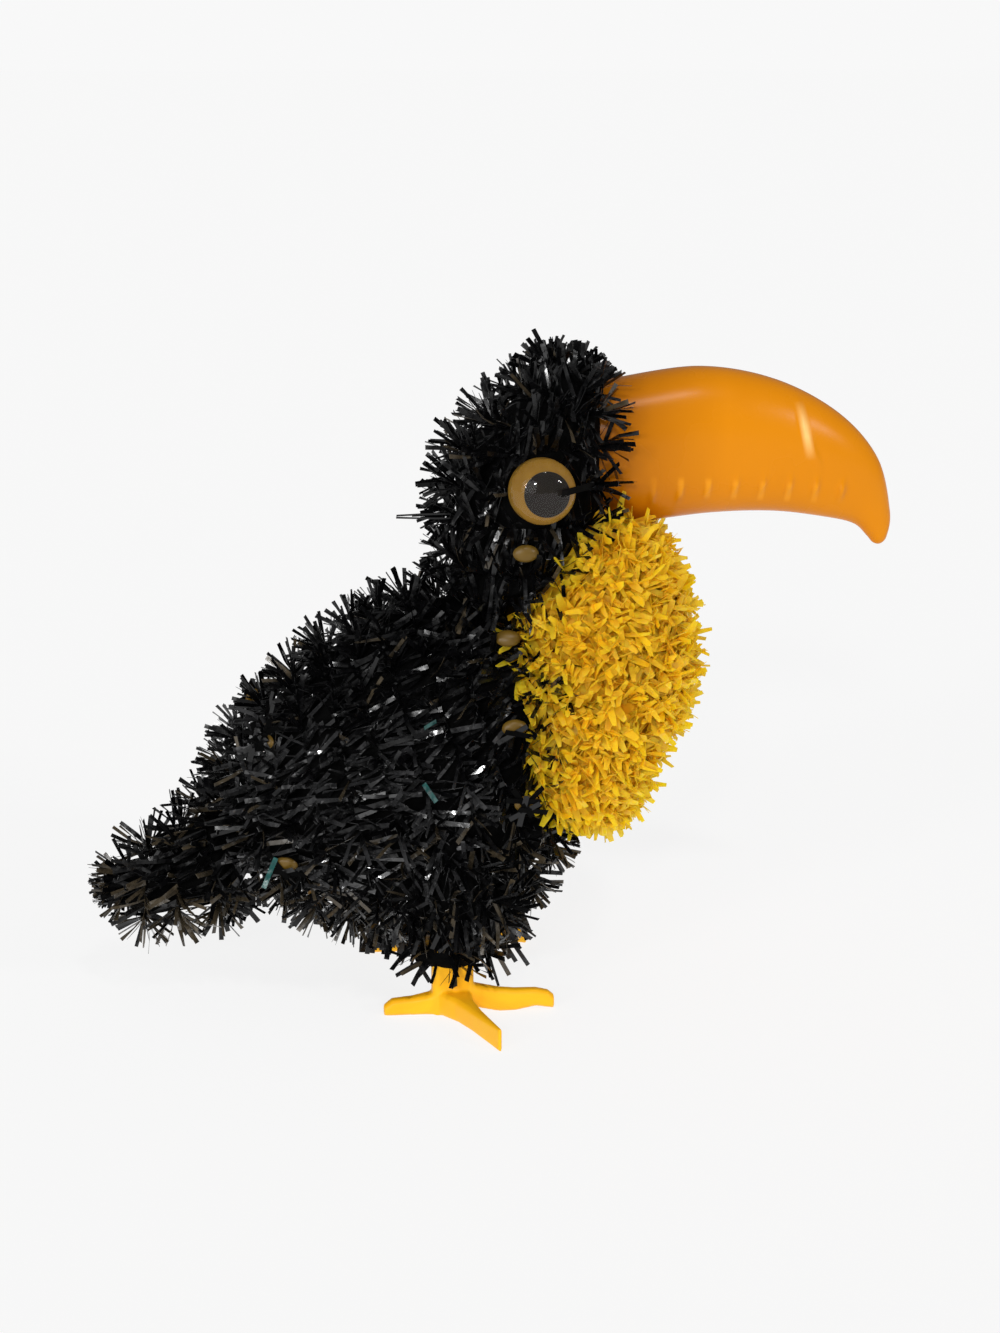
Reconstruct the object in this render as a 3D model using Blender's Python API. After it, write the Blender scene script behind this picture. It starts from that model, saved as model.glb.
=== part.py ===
"""Tinsel toucan decoration, standing on two moulded feet.

Metres, +Z up.  The bird looks along +X, its left side is +Y, and its soles stand on Z = 0.
The tinsel forms are lofts: rings of ridge and valley stand for the turns of garland, and the
zigzag round each ridge stands for its tufts.
"""
import math
import random

import bmesh
import bpy
from mathutils import Matrix, Vector
from mathutils.bvhtree import BVHTree

# The figure, and the tinsel that it is wound with
FIGURE_HEIGHT = 0.253      # floor to the tinsel tips on the crown
GARLAND_PITCH = 0.0178     # one turn of black garland to the next
TUFT_SPACING = 0.0182      # one black tuft to the next along a turn
TUFT_REACH = 0.0055        # black tufts past the dense tinsel
BREAST_PITCH = 0.0175      # one turn of yellow garland to the next
BREAST_TUFT_SPACING = 0.0185
BREAST_TUFT_REACH = 0.0045
VALLEY_DEPTH = 0.0025      # the groove between two turns, below the dense tinsel

# The moulded beak
BEAK_LENGTH = 0.107        # edge of the face tinsel to the front of the hook
BEAK_ROOT = 0.012          # the part of the beak that is pushed into the head
BEAK_ROOT_TAPER = 0.15     # how much the root narrows, for each metre that it goes in
BEAK_HEIGHT = 0.055        # top ridge to cutting edge, at its deepest
BEAK_WIDTH = 0.035
BEAK_RING_SPACING = 0.0046
BEAK_SIDES = 16
NOTCH_PITCH = 0.0105       # one soft serration bump to the next above the cutting edge
NOTCH_RELIEF = 0.0005
NOTCH_COUNT = 8
NOTCH_BAND = 0.2           # height of the row of bumps, in shares of the beak's height there
BEAK_SQUARENESS = 2.2      # 2 is an ellipse, more is fuller at its corners

# The domed eyes
EYE_DIAMETER = 0.024
EYE_DOME_HEIGHT = 0.0075
EYE_RIM_DEPTH = 0.005      # the straight rim behind the dome
EYE_SIDES = 18
EYE_DOME_RINGS = 4
EYE_TILT = 5.0             # degrees that the dome looks up

# The oval studs along the seam and on the flank
STUD_LENGTH = 0.0098
STUD_HEIGHT = 0.0066
STUD_THICKNESS = 0.0036
STUD_SIDES = 8
STUD_STAND_OUT = 0.0006    # stud centre past the tinsel that it is pressed onto

# The moulded feet
LEG_WIDTH = 0.0156
LEG_THICKNESS = 0.0075
LEG_SPREAD = 0.034         # middle plane of the bird to the middle of each leg
LEG_ROOT = 0.024           # the part of the leg that is pushed into the thigh tinsel
THIGH_CLEARANCE = 0.013    # floor to the lowest dense tinsel of the thigh
TOE_WIDTH = 0.0056
TOE_HEIGHT = 0.0066
FRONT_TOE_LENGTH = 0.0385
OUTER_TOE_LENGTH = 0.0430
REAR_TOE_LENGTH = 0.0260
FRONT_TOE_ANGLE = -2.0     # degrees round from straight ahead, towards the outside when negative
OUTER_TOE_ANGLE = -71.0
REAR_TOE_ANGLE = 180.0
CORNER_RADIUS = 0.0016     # rounding of the legs and toes

MERGE_DISTANCE = 0.000002  # points closer than this after a cut are one point
SEAT_GAP = 0.0003          # left round whatever is seated in the tinsel
CURVE_STEPS = 24           # samples of a smooth path between two stations
RING_PHASE = 0.37          # keeps the points of a ring off the bird's middle plane

# Stations of the free forms, in thousandths of FIGURE_HEIGHT.  Each row is one slice:
# (back x, back z, front x, front z, half width).  A row whose back and front meet is a pole.
HEAD_STATIONS = (
    (24, 514, 24, 514, 0),
    (-92, 593, 142, 609, 138),
    (-90, 688, 162, 696, 141),
    (-95, 775, 180, 794, 146),
    (-56, 862, 192, 893, 141),
    (26, 934, 166, 955, 97),
    (90, 978, 90, 978, 0),
)
BODY_STATIONS = (
    (-427, 250, -427, 250, 0),
    (-425, 372, -348, 170, 119),
    (-369, 475, -253, 117, 162),
    (-254, 576, -126, 92, 186),
    (-150, 630, 43, 98, 184),
    (-40, 650, 145, 230, 168),
    (63, 625, 178, 403, 146),
    (166, 530, 166, 530, 0),
)
TAIL_STATIONS = (
    (-589, 176, -589, 176, 0),
    (-560, 238, -541, 94, 64),
    (-493, 285, -449, 98, 84),
    (-426, 328, -360, 140, 88),
    (-320, 270, -320, 270, 0),
)
BREAST_STATIONS = (
    (100, 262, 100, 262, 0),
    (8, 291, 204, 262, 132),
    (-43, 352, 257, 346, 176),
    (-60, 451, 313, 466, 182),
    (-47, 561, 306, 573, 170),
    (4, 652, 280, 668, 148),
    (79, 733, 240, 730, 105),
    (155, 772, 155, 772, 0),
)
# One thigh, about its own leg: rows are (radius along x, radius along y, height)
THIGH_SHARES = ((0, 0, 0), (60, 48, 20), (84, 60, 80), (112, 72, 150), (0, 0, 245))

# The beak's outline in shares of its own length and height: rows are
# (top x, top z, edge x, edge z, half width), from the face to the point of the hook
BEAK_SHARES = (
    (0.000, 0.925, 0.060, -0.060, 0.980),
    (0.300, 0.995, 0.340, -0.010, 0.960),
    (0.570, 0.900, 0.570, -0.010, 0.840),
    (0.800, 0.665, 0.770, -0.065, 0.640),
    (0.948, 0.350, 0.880, -0.130, 0.420),
    (1.000, -0.050, 0.945, -0.225, 0.220),
    (0.972, -0.265, 0.972, -0.265, 0.000),
)
BEAK_BASE_X = 0.186 * FIGURE_HEIGHT    # where the face tinsel ends
BEAK_EDGE_Z = 0.724 * FIGURE_HEIGHT    # height of the cutting edge

# Places on the figure
LEG_X = -0.075 * FIGURE_HEIGHT

# Places on the side of the figure, as x and z in shares of FIGURE_HEIGHT
EYE_PLACE = (0.057, 0.785)
SEAM_STUDS = ((0.032, 0.695), (0.009, 0.567), (0.013, 0.443), (0.027, 0.336))
FLANK_STUDS = ((-0.345, 0.425), (-0.318, 0.246))


def clear_scene():
    """Start from an empty file."""
    for thing in list(bpy.data.objects):
        bpy.data.objects.remove(thing, do_unlink=True)


def srgb(code):
    """An sRGB hex colour as linear RGBA."""
    channels = [int(code[i:i + 2], 16) / 255 for i in (1, 3, 5)]
    linear = [c / 12.92 if c <= 0.04045 else ((c + 0.055) / 1.055) ** 2.4 for c in channels]
    return (*linear, 1.0)


def finish(name, code, roughness, metallic=0.0):
    """A plain material: colour, roughness and metallic value."""
    material = bpy.data.materials.new(name)
    material.use_nodes = True
    shader = material.node_tree.nodes["Principled BSDF"]
    shader.inputs["Base Color"].default_value = srgb(code)
    shader.inputs["Roughness"].default_value = roughness
    shader.inputs["Metallic"].default_value = metallic
    return material


def make_object(name, shape, material=None, smooth_angle=None):
    """Turn a bmesh into a named object, with all faces pointing out."""
    shape.normal_update()
    bmesh.ops.recalc_face_normals(shape, faces=shape.faces[:])
    mesh = bpy.data.meshes.new(name)
    shape.to_mesh(mesh)
    shape.free()
    if material:
        mesh.materials.append(material)
    if smooth_angle:
        mesh.shade_smooth()
        mesh.set_sharp_from_angle(angle=math.radians(smooth_angle))
    thing = bpy.data.objects.new(name, mesh)
    bpy.context.collection.objects.link(thing)
    return thing


def combine(target, other, operation):
    """Join another object to the target, or cut it out of the target, for good."""
    step = target.modifiers.new(operation.lower(), "BOOLEAN")
    step.operation = operation
    step.solver = "EXACT"
    step.object = other
    bpy.context.view_layer.update()
    evaluated = target.evaluated_get(bpy.context.evaluated_depsgraph_get())
    result = bpy.data.meshes.new_from_object(evaluated)
    target.modifiers.clear()
    target.data = result
    bpy.data.objects.remove(other, do_unlink=True)
    drop_crumbs(target)


def drop_crumbs(thing):
    """Keep the largest body: a cut can part the tip of a tuft from its form."""
    shape = bmesh.new()
    shape.from_mesh(thing.data)
    bmesh.ops.remove_doubles(shape, verts=shape.verts, dist=MERGE_DISTANCE)
    bmesh.ops.dissolve_degenerate(shape, edges=shape.edges, dist=MERGE_DISTANCE)
    bmesh.ops.triangulate(shape, faces=shape.faces[:])
    unseen = set(shape.faces)
    bodies = []
    while unseen:
        first = unseen.pop()
        group = [first]
        waiting = [first]
        while waiting:
            for link in waiting.pop().edges:
                if len(link.link_faces) != 2:
                    continue
                for face in link.link_faces:
                    if face in unseen:
                        unseen.discard(face)
                        group.append(face)
                        waiting.append(face)
        bodies.append(group)
    bodies.sort(key=len)
    crumbs = [face for group in bodies[:-1] for face in group]
    bmesh.ops.delete(shape, geom=crumbs, context="FACES")
    shape.to_mesh(thing.data)
    shape.free()


def scaled(stations, size):
    """Stations from thousandths of a size into metres."""
    return [tuple(value * size / 1000 for value in row) for row in stations]


def catmull(before, start, end, after, t):
    """A point on the smooth curve from start to end, for rows of any length."""
    return tuple(
        0.5 * (2 * b + (c - a) * t + (2 * a - 5 * b + 4 * c - d) * t * t
               + (3 * b - a - 3 * c + d) * t ** 3)
        for a, b, c, d in zip(before, start, end, after))


def beyond(end, inner):
    """The row past an end: mirrored round a pole, or straight on past an open end."""
    if end[4] == 0:
        return (inner[2], inner[3], inner[0], inner[1], -inner[4])
    return tuple(2 * a - b for a, b in zip(end, inner))


def trace_slices(stations, spacing):
    """Slices at an even spacing along the smooth surface that the stations describe."""
    rows = [beyond(stations[0], stations[1]), *stations, beyond(stations[-1], stations[-2])]
    path = [stations[0]]
    for i in range(1, len(rows) - 2):
        for step in range(1, CURVE_STEPS + 1):
            path.append(catmull(*rows[i - 1:i + 3], step / CURVE_STEPS))
    along = [0.0]
    for last, row in zip(path, path[1:]):
        back = math.hypot(row[0] - last[0], row[1] - last[1])
        front = math.hypot(row[2] - last[2], row[3] - last[3])
        along.append(along[-1] + (back + front) / 2)
    count = max(2, round(along[-1] / spacing))
    slices = []
    k = 0
    for i in range(count + 1):
        goal = along[-1] * i / count
        while k < len(path) - 2 and along[k + 1] < goal:
            k += 1
        t = (goal - along[k]) / (along[k + 1] - along[k])
        slices.append(tuple(a + (b - a) * t for a, b in zip(path[k], path[k + 1])))
    return slices


def skin(shape, rings):
    """Join rings of points into a closed surface, ended by a pole or a flat face."""
    sides = max(len(ring) for ring in rings)
    for ring, following in zip(rings, rings[1:]):
        for k in range(sides):
            n = (k + 1) % sides
            if len(ring) == 1:
                shape.faces.new((ring[0], following[k], following[n]))
            elif len(following) == 1:
                shape.faces.new((ring[k], following[0], ring[n]))
            else:
                shape.faces.new((ring[k], following[k], following[n], ring[n]))
    for ring in (rings[0], rings[-1]):
        if len(ring) > 1:
            shape.faces.new(ring)
    bmesh.ops.recalc_face_normals(shape, faces=shape.faces[:])
    shape.normal_update()


def loft(slices, sides, squareness=2.0):
    """A closed form with a ring of points round each slice, and its rings.

    The slices are ellipses; a squareness above 2 fills out their corners.
    """
    shape = bmesh.new()
    rings = []
    for back_x, back_z, front_x, front_z, half in slices:
        middle = Vector(((back_x + front_x) / 2, 0, (back_z + front_z) / 2))
        reach = Vector((back_x, 0, back_z)) - middle
        if abs(half) < 1e-9:
            rings.append([shape.verts.new(middle)])
            continue
        ring = []
        for k in range(sides):
            turn = 2 * math.pi * (k + RING_PHASE) / sides
            c, s = math.cos(turn), math.sin(turn)
            stretch = (abs(c) ** squareness + abs(s) ** squareness) ** (-1 / squareness)
            ring.append(shape.verts.new(middle + stretch * (c * reach + Vector((0, s * half, 0)))))
        rings.append(ring)
    skin(shape, rings)
    return shape, rings


def girth_sides(slices, tuft_spacing):
    """An even number of points round the widest slice: one tuft and one gap for each spacing."""
    widest = 0.0
    for back_x, back_z, front_x, front_z, half in slices:
        reach = math.hypot(back_x - front_x, back_z - front_z) / 2
        widest = max(widest, math.pi * (reach + abs(half)))
    return 2 * max(4, round(widest / tuft_spacing))


def tinsel_form(stations, pitch, tuft_spacing, reach, seed, weight=None, grow=0.0):
    """A form wound with garland: tufted ridges a pitch apart, with a groove between them."""
    slices = trace_slices(stations, pitch / 2)
    shape, rings = loft(slices, girth_sides(slices, tuft_spacing))
    chance = random.Random(seed)
    moves = []
    for i, ring in enumerate(rings):
        for k, point in enumerate(ring):
            if len(ring) == 1:
                out = reach
            elif i % 2 == 0:
                out = -VALLEY_DEPTH
            elif (k + i // 2) % 2 == 0:
                out = reach * chance.uniform(0.8, 1.0)
            else:
                out = 0.0
            if weight:
                out *= weight(point.co)
            moves.append((point, point.normal.copy(), out))
    for point, normal, out in moves:
        point.co += out * normal
    bmesh.ops.triangulate(shape, faces=shape.faces[:], quad_method="SHORT_EDGE")
    for point, normal, _ in moves:
        point.co += grow * normal
    return shape


def black_form(name, stations, seed):
    """One black tinsel form, to be joined to the others."""
    return make_object(name, tinsel_form(stations, GARLAND_PITCH, TUFT_SPACING, TUFT_REACH, seed))


def thigh_form(name, side, seed):
    """The tufted cluster of tinsel round the top of one leg."""
    unit = FIGURE_HEIGHT / 1000
    stations = []
    for along, across, height in THIGH_SHARES:
        z = THIGH_CLEARANCE + height * unit
        stations.append((LEG_X - along * unit, z, LEG_X + along * unit, z, across * unit))
    shape = tinsel_form(stations, GARLAND_PITCH, TUFT_SPACING, TUFT_REACH, seed)
    bmesh.ops.translate(shape, verts=shape.verts, vec=(0, side * LEG_SPREAD, 0))
    return make_object(name, shape)


def search_tree(thing):
    """A finished piece, ready for surface_at."""
    shape = bmesh.new()
    shape.from_mesh(thing.data)
    tree = BVHTree.FromBMesh(shape)
    shape.free()
    return tree


def smooth_trees():
    """The black forms without their tufts: the eyes are set in these, and the studs lie along them."""
    trees = []
    for stations in (HEAD_STATIONS, BODY_STATIONS, TAIL_STATIONS):
        slices = trace_slices(scaled(stations, FIGURE_HEIGHT), GARLAND_PITCH / 2)
        shape, _ = loft(slices, girth_sides(slices, TUFT_SPACING))
        trees.append(BVHTree.FromBMesh(shape))
        shape.free()
    return trees


def depth_outside(trees, place):
    """How far a place is outside all of these closed forms, or 0 inside one."""
    nearest = math.inf
    for tree in trees:
        spot, normal, _, distance = tree.find_nearest(place)
        if (place - spot).dot(normal) < 0:
            return 0.0
        nearest = min(nearest, distance)
    return nearest


def breast_shape(grow=0.0):
    """The yellow breast.  It has no tufts where it sits in the black tinsel."""
    trees = smooth_trees()

    def weight(place):
        return min(1.0, depth_outside(trees, place) / BREAST_TUFT_REACH)

    return tinsel_form(scaled(BREAST_STATIONS, FIGURE_HEIGHT), BREAST_PITCH, BREAST_TUFT_SPACING,
                       BREAST_TUFT_REACH, 4, weight, grow)


def beak_shape(grow=0.0):
    """The moulded beak: one smooth horn with a hooked point and soft bumps above its edge."""
    rows = []
    for top_x, top_z, low_x, low_z, half in BEAK_SHARES:
        rows.append((BEAK_BASE_X + top_x * BEAK_LENGTH, BEAK_EDGE_Z + top_z * BEAK_HEIGHT,
                     BEAK_BASE_X + low_x * BEAK_LENGTH, BEAK_EDGE_Z + low_z * BEAK_HEIGHT,
                     half * BEAK_WIDTH / 2))
    top_x, top_z, low_x, low_z, half = rows[0]
    taper = BEAK_ROOT_TAPER * BEAK_ROOT
    rows.insert(0, (top_x - BEAK_ROOT, top_z - taper, low_x - BEAK_ROOT, low_z + taper,
                    half - taper))
    shape, rings = loft(trace_slices(rows, BEAK_RING_SPACING), BEAK_SIDES, BEAK_SQUARENESS)
    first_bump = BEAK_BASE_X + BEAK_SHARES[0][2] * BEAK_LENGTH
    last_bump = first_bump + (NOTCH_COUNT - 1) * NOTCH_PITCH
    moves = []
    for ring in rings:
        low = min(point.co.z for point in ring)
        high = max(point.co.z for point in ring)
        for point in ring:
            out = grow
            share = (point.co.z - low) / max(high - low, 1e-6)
            if first_bump - NOTCH_PITCH / 2 < point.co.x < last_bump + NOTCH_PITCH / 2:
                wave = math.cos(2 * math.pi * (point.co.x - first_bump) / NOTCH_PITCH)
                band = max(0.0, 1 - abs(share - NOTCH_BAND) / NOTCH_BAND)
                out += NOTCH_RELIEF * wave * band
            moves.append((point, point.normal * out))
    for point, move in moves:
        point.co += move
    return shape


def turned(profile, sides, squash=1.0):
    """A shape turned about Z from (radius, height) rows, with a pole where the radius is 0."""
    shape = bmesh.new()
    rings = []
    for radius, height in profile:
        if radius == 0:
            rings.append([shape.verts.new((0, 0, height))])
            continue
        turns = [2 * math.pi * k / sides for k in range(sides)]
        rings.append([shape.verts.new((radius * math.cos(a), squash * radius * math.sin(a), height))
                      for a in turns])
    skin(shape, rings)
    return shape


def eye_shape(grow=0.0):
    """A domed craft eye about its own axis: the dome at +Z, its rim below Z = 0."""
    radius = EYE_DIAMETER / 2
    profile = [(radius + grow, -EYE_RIM_DEPTH - grow)]
    for i in range(EYE_DOME_RINGS):
        turn = math.pi / 2 * i / EYE_DOME_RINGS
        profile.append(((radius + grow) * math.cos(turn), (EYE_DOME_HEIGHT + grow) * math.sin(turn)))
    profile.append((0, EYE_DOME_HEIGHT + grow))
    return turned(profile, EYE_SIDES)


def stud_shape(grow=0.0):
    """An oval stud about its own axis: long along X, its face at +Z."""
    length = STUD_LENGTH / 2 + grow
    thick = STUD_THICKNESS / 2 + grow
    squash = (STUD_HEIGHT / 2 + grow) / length
    turns = [math.radians(a) for a in (-90, -35, 20, 60, 90)]
    profile = [(0 if abs(a) > 1.5 else length * math.cos(a), thick * math.sin(a)) for a in turns]
    return turned(profile, STUD_SIDES, squash)


def facing(place, outward, up=Vector((0, 0, 1))):
    """The matrix that puts a shape's +Z along outward and its +X level, at a place."""
    z = outward.normalized()
    x = up.cross(z).normalized()
    y = z.cross(x)
    return Matrix.Translation(place) @ Matrix((x, y, z)).transposed().to_4x4()


def surface_at(trees, x, z, side):
    """Where a level line from the side first meets the forms, and the way that they face there."""
    start = Vector((x, side * FIGURE_HEIGHT, z))
    best = None
    for tree in trees:
        place, normal, _, distance = tree.ray_cast(start, Vector((0, -side, 0)))
        if place and (best is None or distance < best[2]):
            best = (place, normal if normal.y * side > 0 else -normal, distance)
    return best[0], best[1]


def rounded_section(width, height, low):
    """An eight-sided section with its corners taken off, across Y and up Z from a low edge."""
    r = min(CORNER_RADIUS, width / 3, height / 3)
    w, top = width / 2, low + height
    return [(-w + r, low), (w - r, low), (w, low + r), (w, top - r),
            (w - r, top), (-w + r, top), (-w, top - r), (-w, low + r)]


def toe_shape(length, rows, angle, grow=0.0):
    """One toe along +X from the leg's middle, turned to its angle.

    Rows are (share of the length, lift of its underside, share of the height, share of the width).
    """
    shape = bmesh.new()
    rings = []
    for share, lift, tall, wide in rows:
        section = rounded_section(TOE_WIDTH * wide + 2 * grow, TOE_HEIGHT * tall + 2 * grow,
                                  lift * TOE_HEIGHT - grow)
        rings.append([shape.verts.new((share * (length + grow), y, z)) for y, z in section])
    skin(shape, rings)
    bmesh.ops.rotate(shape, verts=shape.verts, cent=(0, 0, 0),
                     matrix=Matrix.Rotation(math.radians(angle), 3, "Z"))
    return shape


SUNK = -0.06      # a toe's underside starts this share of its height below the floor
FRONT_TOE_ROWS = ((0.00, SUNK, 1.75, 1.6), (0.22, 0.35, 1.2, 1.1), (0.45, SUNK, 1.15, 1.0),
                  (0.62, SUNK, 1.1, 1.0), (0.82, 0.22, 0.85, 0.95), (0.94, 0.1, 0.9, 0.9),
                  (1.00, SUNK, 0.8, 0.7))
OUTER_TOE_ROWS = ((0.00, SUNK, 1.75, 1.6), (0.25, SUNK, 1.4, 1.4), (0.55, SUNK, 1.2, 1.2),
                  (0.93, SUNK, 1.15, 1.15), (1.00, SUNK, 1.0, 1.0))
REAR_TOE_ROWS = ((0.00, SUNK, 1.75, 1.6), (0.34, SUNK, 1.2, 1.2), (0.60, SUNK, 1.0, 1.0),
                 (0.88, SUNK, 0.95, 0.95), (1.00, SUNK, 0.6, 0.75))


def leg_shape(grow=0.0):
    """The flat upright shank of the foot, a little wider where it meets the toes."""
    top = THIGH_CLEARANCE + LEG_ROOT + grow
    shape = bmesh.new()
    rings = []
    for height, wide in ((SUNK * TOE_HEIGHT, 1.05), (0.45 * THIGH_CLEARANCE, 1.0), (top, 0.96)):
        width = LEG_WIDTH * wide + 2 * grow
        section = rounded_section(LEG_THICKNESS + 2 * grow, width, -width / 2)
        rings.append([shape.verts.new((x, y, height)) for y, x in section])
    skin(shape, rings)
    return shape


def place_leg(shape, side):
    """Move a shape from the leg's own middle to its place under the bird."""
    bmesh.ops.translate(shape, verts=shape.verts, vec=(LEG_X, side * LEG_SPREAD, 0))
    return shape


def foot(name, side, material=None, grow=0.0):
    """One moulded foot: shank, front toe, outer toe and rear toe in one, cut flat below."""
    body = make_object(name, place_leg(leg_shape(grow), side), material)
    toes = ((FRONT_TOE_LENGTH, FRONT_TOE_ROWS, FRONT_TOE_ANGLE),
            (OUTER_TOE_LENGTH, OUTER_TOE_ROWS, OUTER_TOE_ANGLE),
            (REAR_TOE_LENGTH, REAR_TOE_ROWS, REAR_TOE_ANGLE))
    for length, rows, angle in toes:
        turn = angle if side < 0 else -angle
        toe = make_object(name + "_toe", place_leg(toe_shape(length, rows, turn, grow), side))
        combine(body, toe, "UNION")
    ground = bmesh.new()
    bmesh.ops.create_cube(ground, size=FIGURE_HEIGHT)
    bmesh.ops.translate(ground, verts=ground.verts,
                        vec=(0, side * LEG_SPREAD, -FIGURE_HEIGHT / 2))
    combine(body, make_object("ground", ground), "DIFFERENCE")
    body.data.shade_smooth()
    body.data.set_sharp_from_angle(angle=math.radians(40))
    return body


def seat(body, shape, matrix):
    """Cut the seat of a piece out of the tinsel."""
    shape.transform(matrix)
    combine(body, make_object("seat", shape), "DIFFERENCE")


def build():
    """Model the whole bird and stand it with the middle of its outline over the origin."""
    clear_scene()
    black = finish("black_tinsel", "#0d0e10", 0.35)
    yellow = finish("yellow_tinsel", "#d09313", 0.5)
    horn = finish("orange_moulded_plastic", "#e38d12", 0.35)
    amber = finish("amber_domed_eye", "#7e6334", 0.08)
    tan = finish("tan_stud_plastic", "#816024", 0.5)
    sole = finish("yellow_moulded_plastic", "#fdba1b", 0.4)

    body = black_form("black_tinsel_body", scaled(BODY_STATIONS, FIGURE_HEIGHT), 1)
    combine(body, black_form("tail", scaled(TAIL_STATIONS, FIGURE_HEIGHT), 2), "UNION")
    combine(body, black_form("head", scaled(HEAD_STATIONS, FIGURE_HEIGHT), 3), "UNION")
    for side in (-1, 1):
        combine(body, thigh_form("thigh", side, 5), "UNION")
    body.data.materials.clear()
    body.data.materials.append(black)

    breast = make_object("yellow_tinsel_breast", breast_shape(), yellow)
    seat(body, breast_shape(SEAT_GAP), Matrix())
    seat(body, beak_shape(SEAT_GAP), Matrix())
    seat(breast, beak_shape(SEAT_GAP), Matrix())
    pieces = [body, breast, make_object("beak", beak_shape(), horn, 35)]

    smooth = smooth_trees()
    tufted = [search_tree(body), search_tree(breast)]
    for side, word in ((-1, "right"), (1, "left")):
        x, z = (share * FIGURE_HEIGHT for share in EYE_PLACE)
        place, _ = surface_at(smooth, x, z, side)
        tilt = math.radians(EYE_TILT)
        outward = Vector((0, side * math.cos(tilt), math.sin(tilt)))
        matrix = facing(place, outward)
        seat(body, eye_shape(SEAT_GAP), matrix)
        seat(breast, eye_shape(SEAT_GAP), matrix)
        eye = eye_shape()
        eye.transform(matrix)
        pieces.append(make_object(word + "_eye", eye, amber, 35))

        studs = [("seam", n, spot) for n, spot in enumerate(SEAM_STUDS, 1)]
        studs += [("flank", n, spot) for n, spot in enumerate(FLANK_STUDS, 1)]
        for row, number, (share_x, share_z) in studs:
            x, z = share_x * FIGURE_HEIGHT, share_z * FIGURE_HEIGHT
            place, _ = surface_at(tufted, x, z, side)
            _, normal = surface_at(smooth, x, z, side)
            matrix = facing(place + STUD_STAND_OUT * normal, normal)
            seat(body, stud_shape(SEAT_GAP), matrix)
            if row == "seam":
                seat(breast, stud_shape(SEAT_GAP), matrix)
            stud = stud_shape()
            stud.transform(matrix)
            pieces.append(make_object(f"{word}_{row}_stud_{number}", stud, tan, 50))

        combine(body, foot("seat", side, grow=SEAT_GAP), "DIFFERENCE")
        pieces.append(foot(word + "_foot", side, sole))

    corners = [v.co for piece in pieces for v in piece.data.vertices]
    middle_x = (min(c.x for c in corners) + max(c.x for c in corners)) / 2
    middle_y = (min(c.y for c in corners) + max(c.y for c in corners)) / 2
    for piece in pieces:
        piece.data.transform(Matrix.Translation((-middle_x, -middle_y, 0)))


build()
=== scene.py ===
import math

import bpy
import numpy as np
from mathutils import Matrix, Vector
from mathutils.bvhtree import BVHTree


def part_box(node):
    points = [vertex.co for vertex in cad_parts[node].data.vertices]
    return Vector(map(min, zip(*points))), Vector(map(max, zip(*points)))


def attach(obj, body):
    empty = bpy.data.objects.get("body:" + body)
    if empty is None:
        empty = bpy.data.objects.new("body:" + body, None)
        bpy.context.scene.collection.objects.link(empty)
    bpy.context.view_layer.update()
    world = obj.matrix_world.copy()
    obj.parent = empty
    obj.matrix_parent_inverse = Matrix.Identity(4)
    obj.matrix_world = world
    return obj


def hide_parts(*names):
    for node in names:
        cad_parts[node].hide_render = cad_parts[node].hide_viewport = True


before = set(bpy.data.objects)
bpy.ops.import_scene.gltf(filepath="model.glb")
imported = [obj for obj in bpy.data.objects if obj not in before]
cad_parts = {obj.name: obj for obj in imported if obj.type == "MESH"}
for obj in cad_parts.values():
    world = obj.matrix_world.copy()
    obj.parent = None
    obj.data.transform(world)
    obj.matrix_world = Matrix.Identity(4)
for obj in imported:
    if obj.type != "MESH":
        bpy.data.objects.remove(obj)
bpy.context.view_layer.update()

# Black tinsel garland
# The bird is wound with black tinsel garland: glossy PVC film cut into strips 1 to 2 mm wide, held in
# a twisted wire and brushed out round it.  The wire goes round and round the head, body, tail and
# thighs, so each turn shows as a row of strips that fan out of it.
FIGURE_HEIGHT = 0.253        # floor to the tinsel tips on the crown
CENTRING = 0.00028           # how far forward the part was moved to stand over its middle
WIRE_PITCH = 0.0150          # one turn of garland to the next
WIRE_DEPTH = 0.0085          # wire below the dense tinsel
CORE_DEPTH = 0.0102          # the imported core, below the dense tinsel
STRIP_LENGTH = 0.0140        # wire to the cut end
STRIP_REACH = 0.0060         # about how far the cut ends stand past the dense tinsel
STRIP_WIDTH = 0.0017
STRIP_THICKNESS = 0.00012
STRIP_SPACING = 0.00070      # one strip to the next along the wire
CLUMP_ANGLE = 14.0           # strips cling together, one bunch this many degrees from the next
CLUMP_RUN = 0.012            # length of wire over which the bunches stay in line
END_TUFT = 60                # strips in the tuft where the wire ends
LEG_X = -0.075 * FIGURE_HEIGHT
LEG_SPREAD = 0.034
THIGH_CLEARANCE = 0.015      # floor to the dense tinsel of the thighs

# The wound forms, in thousandths of FIGURE_HEIGHT.  Each row is one slice:
# (back x, back z, front x, front z, half width).  A row whose back and front meet is an end.
HEAD = (
    (24, 514, 24, 514, 0),
    (-96, 593, 150, 609, 138),
    (-87, 688, 192, 696, 141),
    (-89, 775, 212, 794, 146),
    (-52, 862, 206, 890, 141),
    (26, 934, 166, 948, 97),
    (90, 966, 90, 966, 0),
)
BODY = (
    (-427, 250, -427, 250, 0),
    (-425, 370, -348, 158, 119),
    (-364, 465, -253, 102, 162),
    (-250, 566, -126, 76, 186),
    (-148, 622, 32, 96, 184),
    (-40, 645, 135, 234, 168),
    (63, 625, 178, 403, 146),
    (166, 530, 166, 530, 0),
)
TAIL = (
    (-589, 176, -589, 176, 0),
    (-560, 238, -541, 94, 64),
    (-493, 285, -449, 100, 84),
    (-426, 328, -360, 124, 88),
    (-320, 270, -320, 270, 0),
)
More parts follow.
